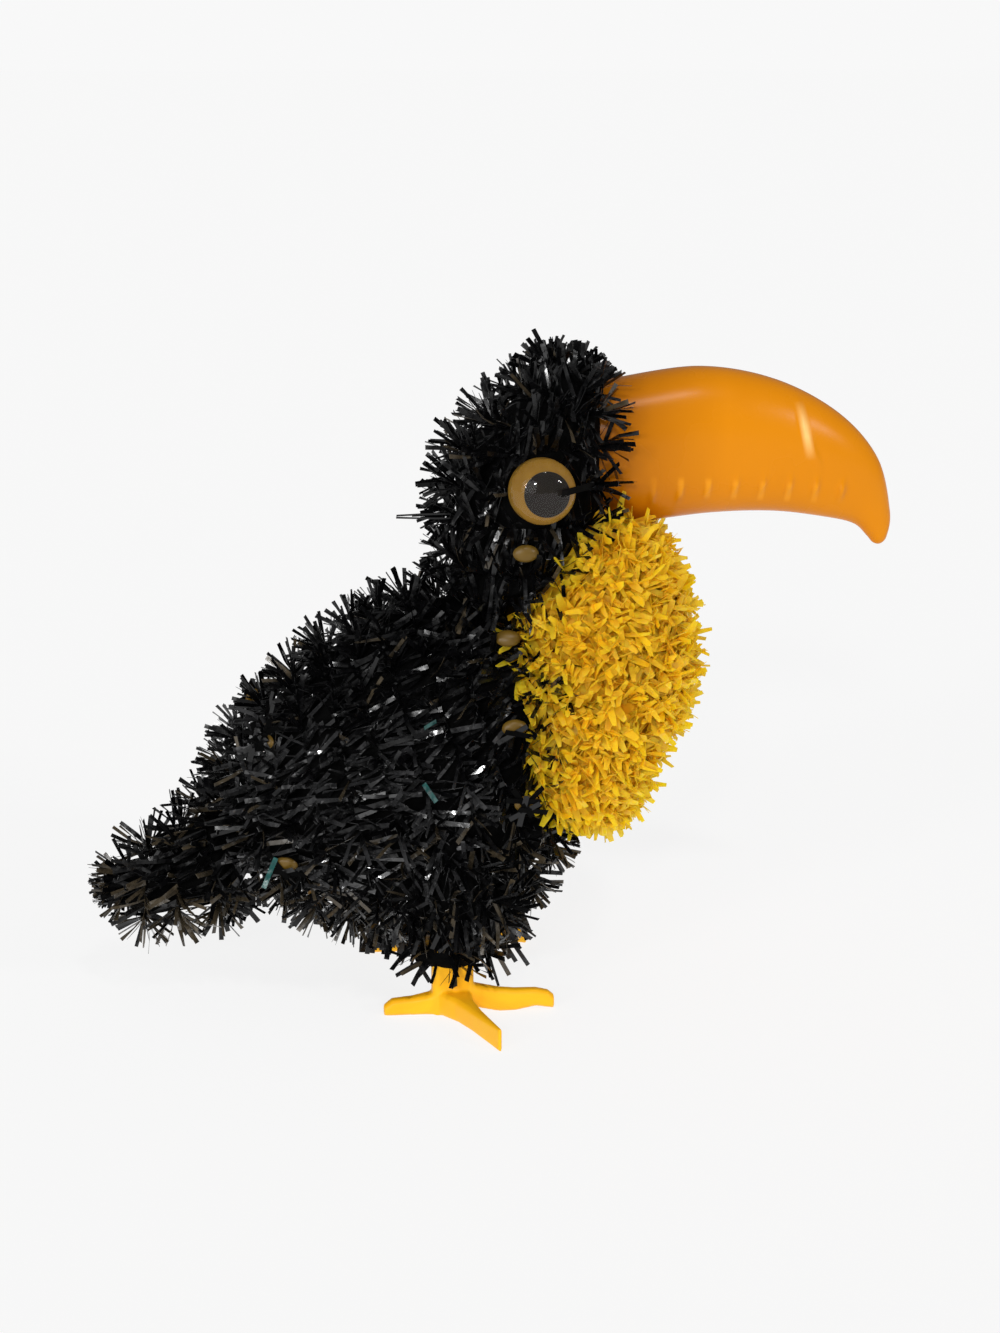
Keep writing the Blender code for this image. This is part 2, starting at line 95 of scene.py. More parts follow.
BREAST = (
    (100, 256, 100, 256, 0),
    (8, 289, 212, 258, 132),
    (-43, 352, 258, 342, 176),
    (-60, 451, 315, 464, 182),
    (-47, 561, 312, 573, 170),
    (4, 652, 280, 668, 148),
    (79, 733, 240, 730, 105),
    (155, 772, 155, 772, 0),
)
THIGH = ((0, 0, 0), (80, 42, 14), (102, 58, 60), (120, 72, 125), (0, 0, 245))


def unit(vectors):
    """Vectors of any number, each brought to length 1."""
    return vectors / np.maximum(np.linalg.norm(vectors, axis=-1, keepdims=True), 1e-12)


class Form:
    """A wound form: a smooth closed surface through its slices."""

    def __init__(self, stations, middle_y=0.0, steps=24):
        rows = np.array(stations, float)
        before = rows[1][[2, 3, 0, 1, 4]] * (1, 1, 1, 1, -1)
        after = rows[-2][[2, 3, 0, 1, 4]] * (1, 1, 1, 1, -1)
        rows = np.vstack([before, rows, after])
        t = np.arange(steps)[:, None] / steps
        path = []
        for a, b, c, d in zip(rows, rows[1:], rows[2:], rows[3:]):
            path.append(0.5 * (2 * b + (c - a) * t + (2 * a - 5 * b + 4 * c - d) * t ** 2
                               + (3 * b - a - 3 * c + d) * t ** 3))
        self.rows = np.vstack(path + [rows[-2]])
        self.middle_y = middle_y
        steps = np.diff(self.rows, axis=0)
        run = (np.hypot(steps[:, 0], steps[:, 1]) + np.hypot(steps[:, 2], steps[:, 3])) / 2
        self.along = np.concatenate([[0], np.cumsum(run)])
        self.length = self.along[-1]

    def slice_at(self, along):
        """The slices at some distances along the form, one to a row."""
        return np.stack([np.interp(along, self.along, column) for column in self.rows.T], -1)

    def place(self, along, turn):
        """Points on the dense surface.  Turn 0 is the back and a quarter turn is +Y."""
        back_x, back_z, front_x, front_z, half = self.slice_at(along).T
        c, s = np.cos(turn), np.sin(turn)
        x = (back_x + front_x) / 2 + c * (back_x - front_x) / 2
        z = (back_z + front_z) / 2 + c * (back_z - front_z) / 2
        return np.stack([x + CENTRING, s * half + self.middle_y, z], -1)

    def axes(self, along, turn):
        """Unit vectors at points on the surface: out of it, round it and along it."""
        round_it = self.place(along, turn + 0.01) - self.place(along, turn - 0.01)
        along_it = self.place(along + 0.0004, turn) - self.place(along - 0.0004, turn)
        out = unit(np.cross(round_it, along_it))
        middle = (self.place(along, turn * 0) + self.place(along, turn * 0 + math.pi)) / 2
        facing = np.sign(((self.place(along, turn) - middle) * out).sum(-1, keepdims=True))
        return out * facing, unit(round_it), unit(along_it)

    def inset(self, along, turn, depth):
        """Points below the dense surface, less deep where the form is slim."""
        back_x, back_z, front_x, front_z, half = self.slice_at(along).T
        slim = np.minimum(np.hypot(back_x - front_x, back_z - front_z) / 2, np.abs(half))
        out, _, _ = self.axes(along, turn)
        return self.place(along, turn) - out * np.minimum(depth, 0.7 * slim)[:, None]

    def shell(self, depth, sides=48, spacing=0.004):
        """Points and faces of the closed surface, some way below the dense tinsel."""
        count = max(8, round(self.length / spacing))
        edge = 0.02 * self.length
        along = np.linspace(edge, self.length - edge, count)
        turns = 2 * math.pi * np.arange(sides) / sides
        s, a = (grid.ravel() for grid in np.meshgrid(along, turns, indexing="ij"))
        points = self.inset(s, a, depth)
        k = np.arange(sides)
        ring = np.stack([k, (k + 1) % sides, (k + 1) % sides + sides, k + sides], -1)
        quads = (ring[None] + sides * np.arange(count - 1)[:, None, None]).reshape(-1, 4)
        ends = points.reshape(count, sides, 3)[[0, -1]].mean(1)
        first, last = len(points), len(points) + 1
        low = np.stack([k, np.full(sides, first), (k + 1) % sides], -1)
        top = np.stack([k, (k + 1) % sides, np.full(sides, last) - (count - 1) * sides], -1)
        return np.vstack([points, ends]), [quads, low, top + (count - 1) * sides]


def scaled(stations):
    """Stations from thousandths of the figure's height into metres."""
    return [[value * FIGURE_HEIGHT / 1000 for value in row] for row in stations]


def thigh_stations():
    """One thigh about its own leg, from the lowest tinsel up into the body."""
    rows = []
    for along, across, height in scaled(THIGH):
        z = THIGH_CLEARANCE + height
        rows.append((LEG_X - along, z, LEG_X + along, z, across))
    return rows


def closed_tree(form, depth=0.0):
    """A form's surface, ready for distance tests, with its faces pointing out."""
    points, groups = form.shell(depth)
    tree = BVHTree.FromPolygons(points.tolist(), [face for group in groups for face in group.tolist()])
    inside = form.place(np.array([form.length / 2]), np.array([0.0])) * 0.5
    inside += form.place(np.array([form.length / 2]), np.array([math.pi])) * 0.5
    spot, normal, _, _ = tree.find_nearest(inside[0])
    return tree, 1.0 if (spot - Vector(inside[0])).dot(normal) > 0 else -1.0


def outside(tree_and_sign, points):
    """How far points are outside a closed surface, less than zero inside it."""
    tree, sign = tree_and_sign
    distances = np.empty(len(points))
    for i, point in enumerate(points.tolist()):
        spot, normal, _, distance = tree.find_nearest(point)
        distances[i] = math.copysign(distance, sign * (Vector(point) - spot).dot(normal))
    return distances


def mesh_piece(name, points, groups, slots=None, sharp=35):
    """An object from points and groups of faces; slots give each face its material."""
    mesh = bpy.data.meshes.new(name)
    mesh.vertices.add(len(points))
    mesh.vertices.foreach_set("co", np.asarray(points, np.float32).ravel())
    sizes = np.concatenate([np.full(len(group), group.shape[1]) for group in groups])
    mesh.loops.add(int(sizes.sum()))
    corners = np.concatenate([np.asarray(group).ravel() for group in groups])
    mesh.loops.foreach_set("vertex_index", corners.astype(np.int32))
    mesh.polygons.add(len(sizes))
    mesh.polygons.foreach_set("loop_start", (np.cumsum(sizes) - sizes).astype(np.int32))
    if slots is not None:
        mesh.polygons.foreach_set("material_index", np.asarray(slots, np.int32))
    mesh.update(calc_edges=True)
    mesh.shade_smooth()
    mesh.set_sharp_from_angle(angle=math.radians(sharp))
    piece = bpy.data.objects.new(name, mesh)
    bpy.context.collection.objects.link(piece)
    return piece


def strip_mesh(root, way, flat, length, width, curl, twist, thickness, leaf):
    """Points and faces of many film strips, each a thin closed bar that curls and twists.

    Leaf gives the width along a strip, in shares of its own width."""
    face = np.cross(way, flat)
    cuts = len(leaf)
    rows = []
    for f, broad in zip(np.linspace(0, 1, cuts), leaf):
        run = (length * f)[:, None]
        bend = curl[:, None]
        middle = root + way * run + face * bend * run ** 2
        lean = unit(face - 2 * bend * run * way)
        angle = (twist * f)[:, None]
        across = unit(flat * np.cos(angle) + lean * np.sin(angle))
        deep = unit(lean * np.cos(angle) - flat * np.sin(angle))
        w = across * width[:, None] * broad / 2
        d = deep * thickness / 2
        rows.append(np.stack([middle - w - d, middle + w - d, middle + w + d, middle - w + d], 1))
    points = np.stack(rows, 1)
    count = len(root)
    faces = []
    for k in range(cuts - 1):
        for c in range(4):
            n = (c + 1) % 4
            faces.append((4 * k + c, 4 * k + n, 4 * k + 4 + n, 4 * k + 4 + c))
    faces.append((3, 2, 1, 0))
    faces.append(tuple(4 * (cuts - 1) + c for c in range(4)))
    faces = np.array(faces)
    quads = (faces[None] + 4 * cuts * np.arange(count)[:, None, None]).reshape(-1, 4)
    return points.reshape(-1, 3), quads, len(faces)


def brush(form, pitch, depth, spacing, flattest, steepest, sway, chance, end_tuft):
    """Roots of the strips along a wire wound round a form, and the way each one points."""
    samples = int(160 * form.length / pitch)
    edge = 0.03 * form.length
    along = np.linspace(edge, form.length - edge, samples)
    turn = 2 * math.pi * along / pitch
    wire = form.inset(along, turn, depth)
    run = np.concatenate([[0], np.cumsum(np.linalg.norm(np.diff(wire, axis=0), axis=1))])
    spots = np.arange(0, run[-1], spacing)
    spots = spots + chance.uniform(-0.5, 0.5, len(spots)) * spacing
    along = np.interp(spots, run, along)
    turn = np.interp(spots, run, turn)
    out, round_it, along_it = form.axes(along, turn)
    root = form.inset(along, turn, depth)
    bunch = (spots // CLUMP_RUN).astype(int)
    shift = chance.uniform(0, CLUMP_ANGLE, bunch.max() + 1)[bunch]
    lean = chance.uniform(steepest, flattest, len(root)) * chance.choice((-1, 1), len(root)) - shift
    lean = (np.floor(lean / CLUMP_ANGLE) + 0.5) * CLUMP_ANGLE + shift
    lean = np.radians(lean + chance.normal(0, 0.17 * CLUMP_ANGLE, len(root)))[:, None]
    stray = chance.normal(0, sway, len(root))[:, None]
    way = unit(out * np.cos(lean) + along_it * np.sin(lean) + round_it * stray)
    roots, ways, grain, above = [root], [way], [round_it], [form.place(along, turn)]
    for end, sign in ((edge, -1), (form.length - edge, 1)):
        pole = form.place(np.array([0.0 if sign < 0 else form.length]), np.array([0.0]))[0]
        ring = form.inset(np.full(8, end), np.arange(8) * math.pi / 4, 0.0)
        middle = form.slice_at(np.array([form.length / 2]))[0]
        heart = np.array([(middle[0] + middle[2]) / 2, form.middle_y, (middle[1] + middle[3]) / 2])
        axis = unit(pole - 0.5 * (heart + ring.mean(0)))
        centre = pole - axis * depth
        spread = unit(chance.normal(0, 1, (end_tuft, 3)) + 1.1 * axis)
        roots.append(centre + chance.normal(0, 0.0015, (end_tuft, 3)))
        ways.append(spread)
        grain.append(unit(np.cross(spread, chance.normal(0, 1, (end_tuft, 3)))))
        above.append(pole + 0 * spread)
    return np.vstack(roots), np.vstack(ways), np.vstack(grain), np.vstack(above)


forms = {
    "head": Form(scaled(HEAD)),
    "body": Form(scaled(BODY)),
    "tail": Form(scaled(TAIL)),
    "right_thigh": Form(thigh_stations(), -LEG_SPREAD),
    "left_thigh": Form(thigh_stations(), LEG_SPREAD),
    "breast": Form(scaled(BREAST)),
}
skins = {name: closed_tree(form) for name, form in forms.items()}


def node_tree_of(name):
    """A CAD piece's own surface, ready for distance tests."""
    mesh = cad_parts[name].data
    mesh.calc_loop_triangles()
    points = [vertex.co[:] for vertex in mesh.vertices]
    return BVHTree.FromPolygons(points, [tri.vertices[:] for tri in mesh.loop_triangles]), 1.0


plastic = {name: node_tree_of(name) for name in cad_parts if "tinsel" not in name}
plastic_boxes = {name: [np.array(corner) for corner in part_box(name)] for name in plastic}


def clear_of_plastic(points, gap):
    """For each strip, whether all its points stay out of the beak, eyes, studs and feet."""
    clear = np.ones(len(points), bool)
    for name, tree in plastic.items():
        low, high = plastic_boxes[name]
        near = ((points > low - gap) & (points < high + gap)).all(-1)
        for row, spot in zip(*np.nonzero(near)):
            if clear[row] and outside(tree, points[row, spot][None])[0] < gap:
                clear[row] = False
    return clear


def facing_of(name):
    """The middle of a round CAD piece, its thin axis pointing out of the bird, and its radii."""
    points = np.array([vertex.co[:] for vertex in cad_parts[name].data.vertices])
    middle = (points.max(0) + points.min(0)) / 2
    _, _, axes = np.linalg.svd(points - points.mean(0))
    spans = np.ptp((points - middle) @ axes.T, axis=0) / 2
    order = np.argsort(-spans)
    out = axes[order[2]] * np.sign(axes[order[2]][1] * middle[1])
    long = axes[order[0]] * np.sign(axes[order[0]][0])
    return middle, out, long, spans[order]


# Share of the face that no strip crosses; the others are half hidden by the tinsel
KEPT_CLEAR = {"eye": 0.93, "seam_stud_1": 0.8, "seam_stud_2": 0.8, "seam_stud_3": 0.35,
              "seam_stud_4": 0.1, "flank_stud": 0.0}


def clear_of_faces(points):
    """For each strip, whether it leaves the faces of the eyes and studs in view."""
    clear = np.ones(len(points), bool)
    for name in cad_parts:
        if "eye" not in name and "stud" not in name:
            continue
        middle, out, _, spans = facing_of(name)
        reach = next(share for word, share in KEPT_CLEAR.items() if word in name) * spans[0]
        height = (points - middle) @ out
        aside = np.linalg.norm(points - middle - height[..., None] * out, axis=-1)
        clear &= ~((aside < reach) & (height > -0.2 * spans[2])).any(-1)
    return clear


def garland(form_name, others, chance, pitch, depth, spacing, length, reach, width, thickness, flattest,
            steepest, sway, crumple, tuft, lowest, sunk, leaf):
    """The strips of one wound form that show: their mesh, and where each one starts and ends."""
    form = forms[form_name]
    root, way, grain, above = brush(form, pitch, depth, spacing, flattest, steepest, sway, chance, tuft)
    count = len(root)
    lengths = length * chance.uniform(0.93, 1.05, count)
    deep = np.linalg.norm(above - root, axis=1)
    lengths = np.minimum(lengths, deep + reach * chance.uniform(0.65, 1.0, count))
    lengths = lengths * (1 + 0.09 * np.sin(root @ (600.0, 350.0, 700.0)))
    widths = width * chance.uniform(0.7, 1.15, count)
    turn = chance.normal(0, 0.75, count)[:, None]
    flat = unit(grain - way * (grain * way).sum(-1, keepdims=True))
    flat = flat * np.cos(turn) + np.cross(way, flat) * np.sin(turn)
    bend = np.clip(chance.normal(0, 1.0, count), -1.6, 1.6)
    curl = bend * np.where(chance.uniform(0, 1, count) < crumple, 30.0, 9.0)
    twist = chance.normal(0, 0.6, count)
    face = np.cross(way, flat)
    shares = np.array([0.25, 0.5, 0.75, 1.0])
    runs = lengths[:, None] * shares
    spots = root[:, None] + way[:, None] * runs[..., None] \
        + face[:, None] * (curl[:, None] * runs ** 2)[..., None]
    # One strip in twenty may hang lower than the rest
    drop = np.where(chance.uniform(0, 1, count) < 0.05, 0.0055, 0.0)
    keep = spots[:, -1, 2] > lowest - drop
    for other in others:
        keep &= outside(skins[other], spots[:, -1]) > -0.003
        keep &= outside(skins[other], above) > -sunk
    keep &= outside(skins[form_name], spots[:, -1]) < 1.15 * reach
    keep &= clear_of_faces(spots)
    keep[keep] = clear_of_plastic(spots[keep], 0.0009)
    made = strip_mesh(root[keep], way[keep], flat[keep], lengths[keep], widths[keep], curl[keep],
                      twist[keep], thickness, leaf)
    return made, spots[keep]


def linear(code):
    """An sRGB hex colour as linear RGBA."""
    channels = [int(code[i:i + 2], 16) / 255 for i in (1, 3, 5)]
    return [c / 12.92 if c <= 0.04045 else ((c + 0.055) / 1.055) ** 2.4 for c in channels] + [1.0]


def add_node(tree, kind, inputs=None, **settings):
    """Add a node, with its settings, and its inputs as values or as links from other sockets."""
    made = tree.nodes.new(kind)
    for key, value in settings.items():
        setattr(made, key, value)
    for key, value in (inputs or {}).items():
        if isinstance(value, bpy.types.NodeSocket):
            tree.links.new(value, made.inputs[key])
        else:
            made.inputs[key].default_value = value
    return made


def new_material(name):
    """A material with an empty node tree, and that tree."""
    material = bpy.data.materials.new(name)
    material.use_nodes = True
    material.node_tree.nodes.clear()
    return material, material.node_tree


def film_material(name, dark, light, specular, rough_low, rough_high, crease, glow=0.0):
    """Glossy PVC film, slit and brushed out: creases break its reflections into short glints."""
    material, tree = new_material(name)
    where = add_node(tree, "ShaderNodeTexCoord")
    tone = add_node(tree, "ShaderNodeTexNoise", {
        "Vector": where.outputs["Object"], "Scale": 1 / 0.009, "Detail": 3.0, "Roughness": 0.6})
    spread = add_node(tree, "ShaderNodeMapRange", {
        "Value": tone.outputs["Fac"], "From Min": 0.35, "From Max": 0.65})
    colour = add_node(tree, "ShaderNodeMix", {
        "Factor": spread.outputs["Result"], "A": linear(dark), "B": linear(light)}, data_type="RGBA")
    fine = add_node(tree, "ShaderNodeTexNoise", {
        "Vector": where.outputs["Object"], "Scale": 1 / 0.0032, "Detail": 1.0})
    rough = add_node(tree, "ShaderNodeMapRange", {
        "Value": fine.outputs["Fac"], "From Min": 0.3, "From Max": 0.7,
        "To Min": rough_low, "To Max": rough_high})
    bump = add_node(tree, "ShaderNodeBump", {
        "Height": fine.outputs["Fac"], "Strength": crease, "Distance": 0.0006})
    shader = add_node(tree, "ShaderNodeBsdfPrincipled", {
        "Base Color": colour.outputs["Result"], "Roughness": rough.outputs["Result"],
        "Specular IOR Level": specular, "Normal": bump.outputs["Normal"],
        "Subsurface Weight": glow, "Subsurface Radius": (1.0, 0.7, 0.15), "Subsurface Scale": 0.0028})
    add_node(tree, "ShaderNodeOutputMaterial", {"Surface": shader.outputs["BSDF"]})
    return material


# Most strips are black.  A few, and more of them low down, are of smoke brown film.  On the flanks
# half of the strips are smoother and catch the lamps as streaks; their paler colour is painted sheen.
# The imported core is painted nearly black as shade: little light comes back out from deep among the strips.
black_film = film_material("black_pvc_film_brushed_out", "#040405", "#0c0c0d", 0.40, 0.10, 0.36, 0.4)
brown_film = film_material("smoke_brown_pvc_film", "#2c261c", "#544a3a", 0.6, 0.10, 0.36, 0.4)
# Teal: painted glints of coloured light, used on three strips only.
painted_teal_glint = film_material("teal_glint_pvc_film", "#06302f", "#0f5a55", 0.5, 0.15, 0.3, 0.5)
glint_film = film_material("black_pvc_film_painted_sheen", "#1c1c1d", "#3a3a3b", 1.0, 0.02, 0.22, 0.5)
core_film = film_material("packed_black_pvc_film", "#010101", "#050505", 0.05, 0.6, 0.8, 0.3)

chance = np.random.default_rng(7)
black_forms = ("head", "body", "tail", "right_thigh", "left_thigh")
for form_name in black_forms:
    others = [name for name in forms if name != form_name]
    on_thigh = "thigh" in form_name
    (points, quads, per_strip), spots = garland(
        form_name, others, chance, WIRE_PITCH, WIRE_DEPTH, STRIP_SPACING, STRIP_LENGTH, STRIP_REACH,
        STRIP_WIDTH, STRIP_THICKNESS, flattest=84, steepest=0, sway=0.26, crumple=0.25, tuft=END_TUFT,
        lowest=0.0145 if on_thigh else 0.0130, sunk=0.010, leaf=(1.0, 1.0, 1.0))
    low_share = np.clip((0.085 - spots[:, -1, 2]) / 0.05, 0, 1)
    draw = chance.uniform(0, 1, len(spots))
    brown = 0.14 if on_thigh else 0.38
    kind = np.where(draw < 0.03 + brown * low_share, 1, 0)
    # Painted sheen: half of the strips whose ends fall in this box on the flanks take the paler glint film.
    flank_middle = np.array([-0.052, 0.0, 0.082])
    flank_half = np.array([0.052, 1.0, 0.034])
    on_flank = (np.abs((spots[:, -1] - flank_middle) / flank_half)[:, [0, 2]] < 1).all(-1)
    kind[(chance.uniform(0, 1, len(spots)) < 0.50) & on_flank] = 3
    halves = 2 if form_name == "body" else 1
    strips = np.arange(len(spots))
    for half in range(halves):
        chosen = strips[strips * halves // len(strips) == half]
        first, last = chosen[0], chosen[-1] + 1
        corners = len(points) // len(spots)
        part_points = points[first * corners:last * corners]
        part_quads = quads[first * per_strip:last * per_strip] - first * corners
        part_slots = np.repeat(kind[first:last], per_strip)
        groups = [part_quads]
        if half == 0:
            core_points, core_groups = forms[form_name].shell(CORE_DEPTH)
            groups += [group + len(part_points) for group in core_groups]
            core_faces = sum(len(group) for group in core_groups)
            part_points = np.vstack([part_points, core_points])
            # The core takes slot 2, the packed film painted nearly black as shade.
            part_slots = np.concatenate([part_slots, np.full(core_faces, 2)])
        name = f"black_garland_{form_name}" + (f"_{half + 1}" if halves > 1 else "")
        piece = mesh_piece(name, part_points, groups, part_slots)
        for material in (black_film, brown_film, core_film, glint_film):
            piece.data.materials.append(material)
        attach(piece, "root")
        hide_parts("black_tinsel_body")

# Loose black strips
# Strips of the same black PVC film that stand apart from the wound rows: at the nape and crown, under
# the belly and behind it, and across the studs and the front rim of the right eye.  Three on the right
# flank are coloured teal as painted glints of coloured light.
HANGING_ROWS = (             # strips, first and last foot, first and last tip, in millimetres, and width
    (6, (-45.5, 14.0, 16.49), (-33.6, 14.0, 15.89), (-47.69, 12.0, 9.0), (-37.89, 12.0, 6.8), 2.1),
    (8, (-46.53, -8.0, 26.91), (-30.33, -8.0, 26.11), (-49.5, -10.0, 17.61), (-32.0, -10.0, 13.31), 1.9),
    (6, (4.77, 4.0, 26.66), (10.67, 4.0, 26.36), (6.86, 2.0, 12.37), (15.16, 2.0, 16.07), 1.9),
    (1, (12.2, 4.0, 26.4), (12.2, 4.0, 26.4), (17.6, 2.0, 17.2), (17.6, 2.0, 17.2), 1.9),
    (1, (-48.0, 14.0, 17.5), (-48.0, 14.0, 17.5), (-49.9, 12.0, 9.8), (-49.9, 12.0, 9.8), 2.1),
    (6, (-45.69, -16.0, 30.59), (-32.29, -16.0, 29.89), (-49.0, -18.0, 21.78), (-33.8, -18.0, 16.98), 1.7),
)
THIGH_FRONT = (              # x and z of foot and tip of the strips before the right thigh
    (-0.9, 29.2, 13.8, 17.6), (-0.9, 27.6, 13.1, 14.3), (-1.6, 26.0, 9.9, 12.4), (0.3, 30.8, 14.2, 20.4),
    (-2.4, 24.4, 6.4, 12.2), (1.1, 31.5, 11.9, 23.0), (-0.1, 30.0, 9.9, 19.8),
)
TAIL_ROOT = (                # x and z of foot and tip of the strips under the root of the tail
    (-93.8, 47.4, -96.3, 38.6), (-92.6, 47.7, -94.1, 36.9), (-91.1, 47.6, -91.9, 36.4),
    (-89.6, 47.2, -89.6, 37.0), (-88.5, 46.3, -87.3, 36.5), (-91.9, 45.3, -93.0, 35.6),
    (-94.9, 46.6, -98.2, 39.5),
)
CROWN_TUFTS = (              # x and z of a tuft's root, and of each tip
    ((25.6, 235.4), ((15.5, 253.7), (12.5, 246.8), (9.1, 244.5), (13.3, 250.4), (19.9, 246.7), (6.9, 241.3))),
    ((33.8, 232.3), ((31.1, 249.4), (36.1, 247.2), (38.2, 245.2), (40.5, 243.4), (45.2, 240.4), (47.3, 238.3),
                     (48.8, 236.6))),
)
# A hanging strip is moved a little from its even place, by its number, so that a row becomes a loose tuft
FOOT_ACROSS = (-1.4, 1.2, 0.2, 2.0)
FOOT_UP = (1.2, 0.0, 2.0, 0.6, 1.6)
TIP_ALONG = (-1.4, 1.0, -0.3, 1.6, 0.2)
TIP_ACROSS = (-1.6, 0.8, 1.6, -0.5, 0.2, 1.2)
TIP_UP = (0.2, -1.5, 0.5, -0.7, -2.1)
HANGING_CURLS = (12, -14, 9, -8, 15)
ROOT_BELOW = 21.0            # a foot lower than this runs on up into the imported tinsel
ROOT_LENGTH = 9.0


def hanging(number, foot, tip, width):
    """One strip of a hanging tuft, from its even place in the row."""
    foot = foot + (0, FOOT_ACROSS[number % 4], FOOT_UP[number % 5])
    tip = tip + np.array((TIP_ALONG[number % 5], TIP_ACROSS[number % 6], TIP_UP[number % 5]))
    curl = HANGING_CURLS[number % 5]
    if foot[2] < ROOT_BELOW:
        foot = np.round(foot + unit(foot - tip) * ROOT_LENGTH, 1)
        curl = int(curl / 4)
    return np.round(foot, 1), np.round(tip, 1), width, curl, 0


hung = []
for count, first_foot, last_foot, first_tip, last_tip, width in HANGING_ROWS:
    row_feet = np.round(np.linspace(first_foot, last_foot, count), 1)
    row_tips = np.round(np.linspace(first_tip, last_tip, count), 1)
    hung += [hanging(len(hung) + k, row_feet[k], row_tips[k], width) for k in range(count)]
for x, z, tip_x, tip_z in THIGH_FRONT:
    hung.append(hanging(len(hung), np.array((x, -14.0, z)), np.array((tip_x, -12.0, tip_z)), 1.7))
under_tail = [((x, -8.0, z), (tip_x, -10.0, tip_z), 1.9, (2, -3, 5)[k % 3], 0)
              for k, (x, z, tip_x, tip_z) in enumerate(TAIL_ROOT)]
crown = [((x, -2.0, z), tip) for (x, z), tips in CROWN_TUFTS for tip in tips]
crown = [(foot, (tip[0], (-6.0, 3.0, -2.0)[k % 3], tip[1]), 1.7, (3, -4, 6)[k % 3], 0)
         for k, (foot, tip) in enumerate(crown)]
nape = [
    ((-16.0, -12.0, 186.6), (-36.0, -12.0, 187.0), 0.7, 3, 0),
    ((-16.0, -12.5, 185.0), (-36.0, -12.5, 185.4), 0.7, -2, 0),
    ((24.0, -2.0, 242.0), (22.5, -2.0, 250.0), 0.5, 8, 0),
]
# Three strips coloured teal as painted glints.
teal_glint_strips = [
    ((-25.8, -48.0, 117.6), (-30.5, -51.0, 116.0), 1.6, 5, 1),
    ((-30.3, -47.0, 93.9), (-26.5, -52.0, 88.4), 1.9, -4, 1),
    ((-84.0, -38.0, 65.2), (-89.2, -42.0, 55.2), 1.9, 6, 1),
]
# Foot, tip, width, curl and whether teal
loose = nape + hung[:22] + under_tail + crown + hung[22:] + teal_glint_strips
# How many strips lie across each stud
COVERING = {"flank_stud_1": 8, "flank_stud_2": 3, "seam_stud_3": 2, "seam_stud_4": 6}
eye_middle, eye_out, _, eye_spans = facing_of("right_eye")
ahead = unit(np.array([1.0, 0, 0]) - eye_out * eye_out[0])
feet, tips, widths, curls, teal = (np.array(column, float) for column in zip(*loose))
feet, tips, widths, kinds = [feet / 1000], [tips / 1000], [widths / 1000], [teal]
feet.append(eye_middle + 0.0185 * ahead + (0, 0, 0.002))
tips.append(eye_middle + 0.0055 * ahead + (eye_spans[2] + 0.0012) * eye_out)
widths.append([0.0028])
kinds.append([2])
for name in sorted(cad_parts):
    count = next((number for word, number in COVERING.items() if word in name), 0)
    stud_middle, stud_out, stud_long, stud_spans = facing_of(name) if count else (None,) * 4
    for number in range(count):
        a = 2.4 * number + 0.5
        slant = stud_long * math.cos(a) + np.cross(stud_out, stud_long) * math.sin(a)
        across = np.cross(stud_out, slant) * (0.0018 if number % 2 else -0.0012)
        feet.append(stud_middle - 0.0085 * slant + 0.0012 * stud_out + across)
        tips.append(stud_middle + 0.0040 * slant + (stud_spans[2] + 0.0016) * stud_out + across)
        widths.append([0.0021])
        kinds.append([2 if number % 3 else 0])
feet, tips, widths, kinds = np.vstack(feet), np.vstack(tips), np.hstack(widths), np.hstack(kinds)
curls = np.append(curls, np.zeros(len(feet) - len(curls)))
ways = unit(tips - feet)
flats = unit(np.cross(ways, (0.0, 1.0, 0.3)))
points, quads, per_strip = strip_mesh(feet, ways, flats, np.linalg.norm(tips - feet, axis=1), widths, curls,
                                      np.zeros(len(feet)), STRIP_THICKNESS, (1.0, 1.0, 1.0, 1.0))
piece = mesh_piece("black_loose_strips", points, [quads], np.repeat(kinds, per_strip))
for material in (black_film, painted_teal_glint, core_film):
    piece.data.materials.append(material)
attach(piece, "root")
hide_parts("black_tinsel_body")

# Yellow tinsel garland
# The throat and breast are wound with golden yellow garland.  Its PVC film is cut into wider strips,
# 2 to 3 mm, which lie flatter and overlap like leaves, and light shows through them.
BREAST_PITCH = 0.0086
BREAST_WIRE_DEPTH = 0.0070
BREAST_CORE_DEPTH = 0.0085
BREAST_STRIP_LENGTH = 0.0135
BREAST_STRIP_REACH = 0.0050
BREAST_STRIP_WIDTH = 0.0029
BREAST_STRIP_SPACING = 0.00058
LEAF = (0.9, 1.0, 1.0, 0.6)   # width along a strip, in shares of its own

yellow_film = film_material("golden_yellow_pvc_film", "#f6b61a", "#ffcb28", 0.15, 0.4, 0.55, 0.15, 0.7)
yellow_core = film_material("packed_yellow_pvc_film", "#f4b61a", "#fdc824", 0.2, 0.5, 0.7, 0.3, 0.0)
(points, quads, per_strip), spots = garland(
    "breast", black_forms, chance, BREAST_PITCH, BREAST_WIRE_DEPTH, BREAST_STRIP_SPACING,
    BREAST_STRIP_LENGTH, BREAST_STRIP_REACH, BREAST_STRIP_WIDTH, STRIP_THICKNESS, flattest=88,
    steepest=20, sway=0.90, crumple=0.5, tuft=END_TUFT, lowest=0.03, sunk=0.006, leaf=LEAF)
core_points, core_groups = forms["breast"].shell(BREAST_CORE_DEPTH)
slots = np.concatenate([np.zeros(len(quads)), np.ones(sum(len(group) for group in core_groups))])
piece = mesh_piece("yellow_garland_breast", np.vstack([points, core_points]),
                   [quads] + [group + len(points) for group in core_groups], slots)
piece.data.materials.append(yellow_film)
piece.data.materials.append(yellow_core)
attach(piece, "root")
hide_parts("yellow_tinsel_breast")

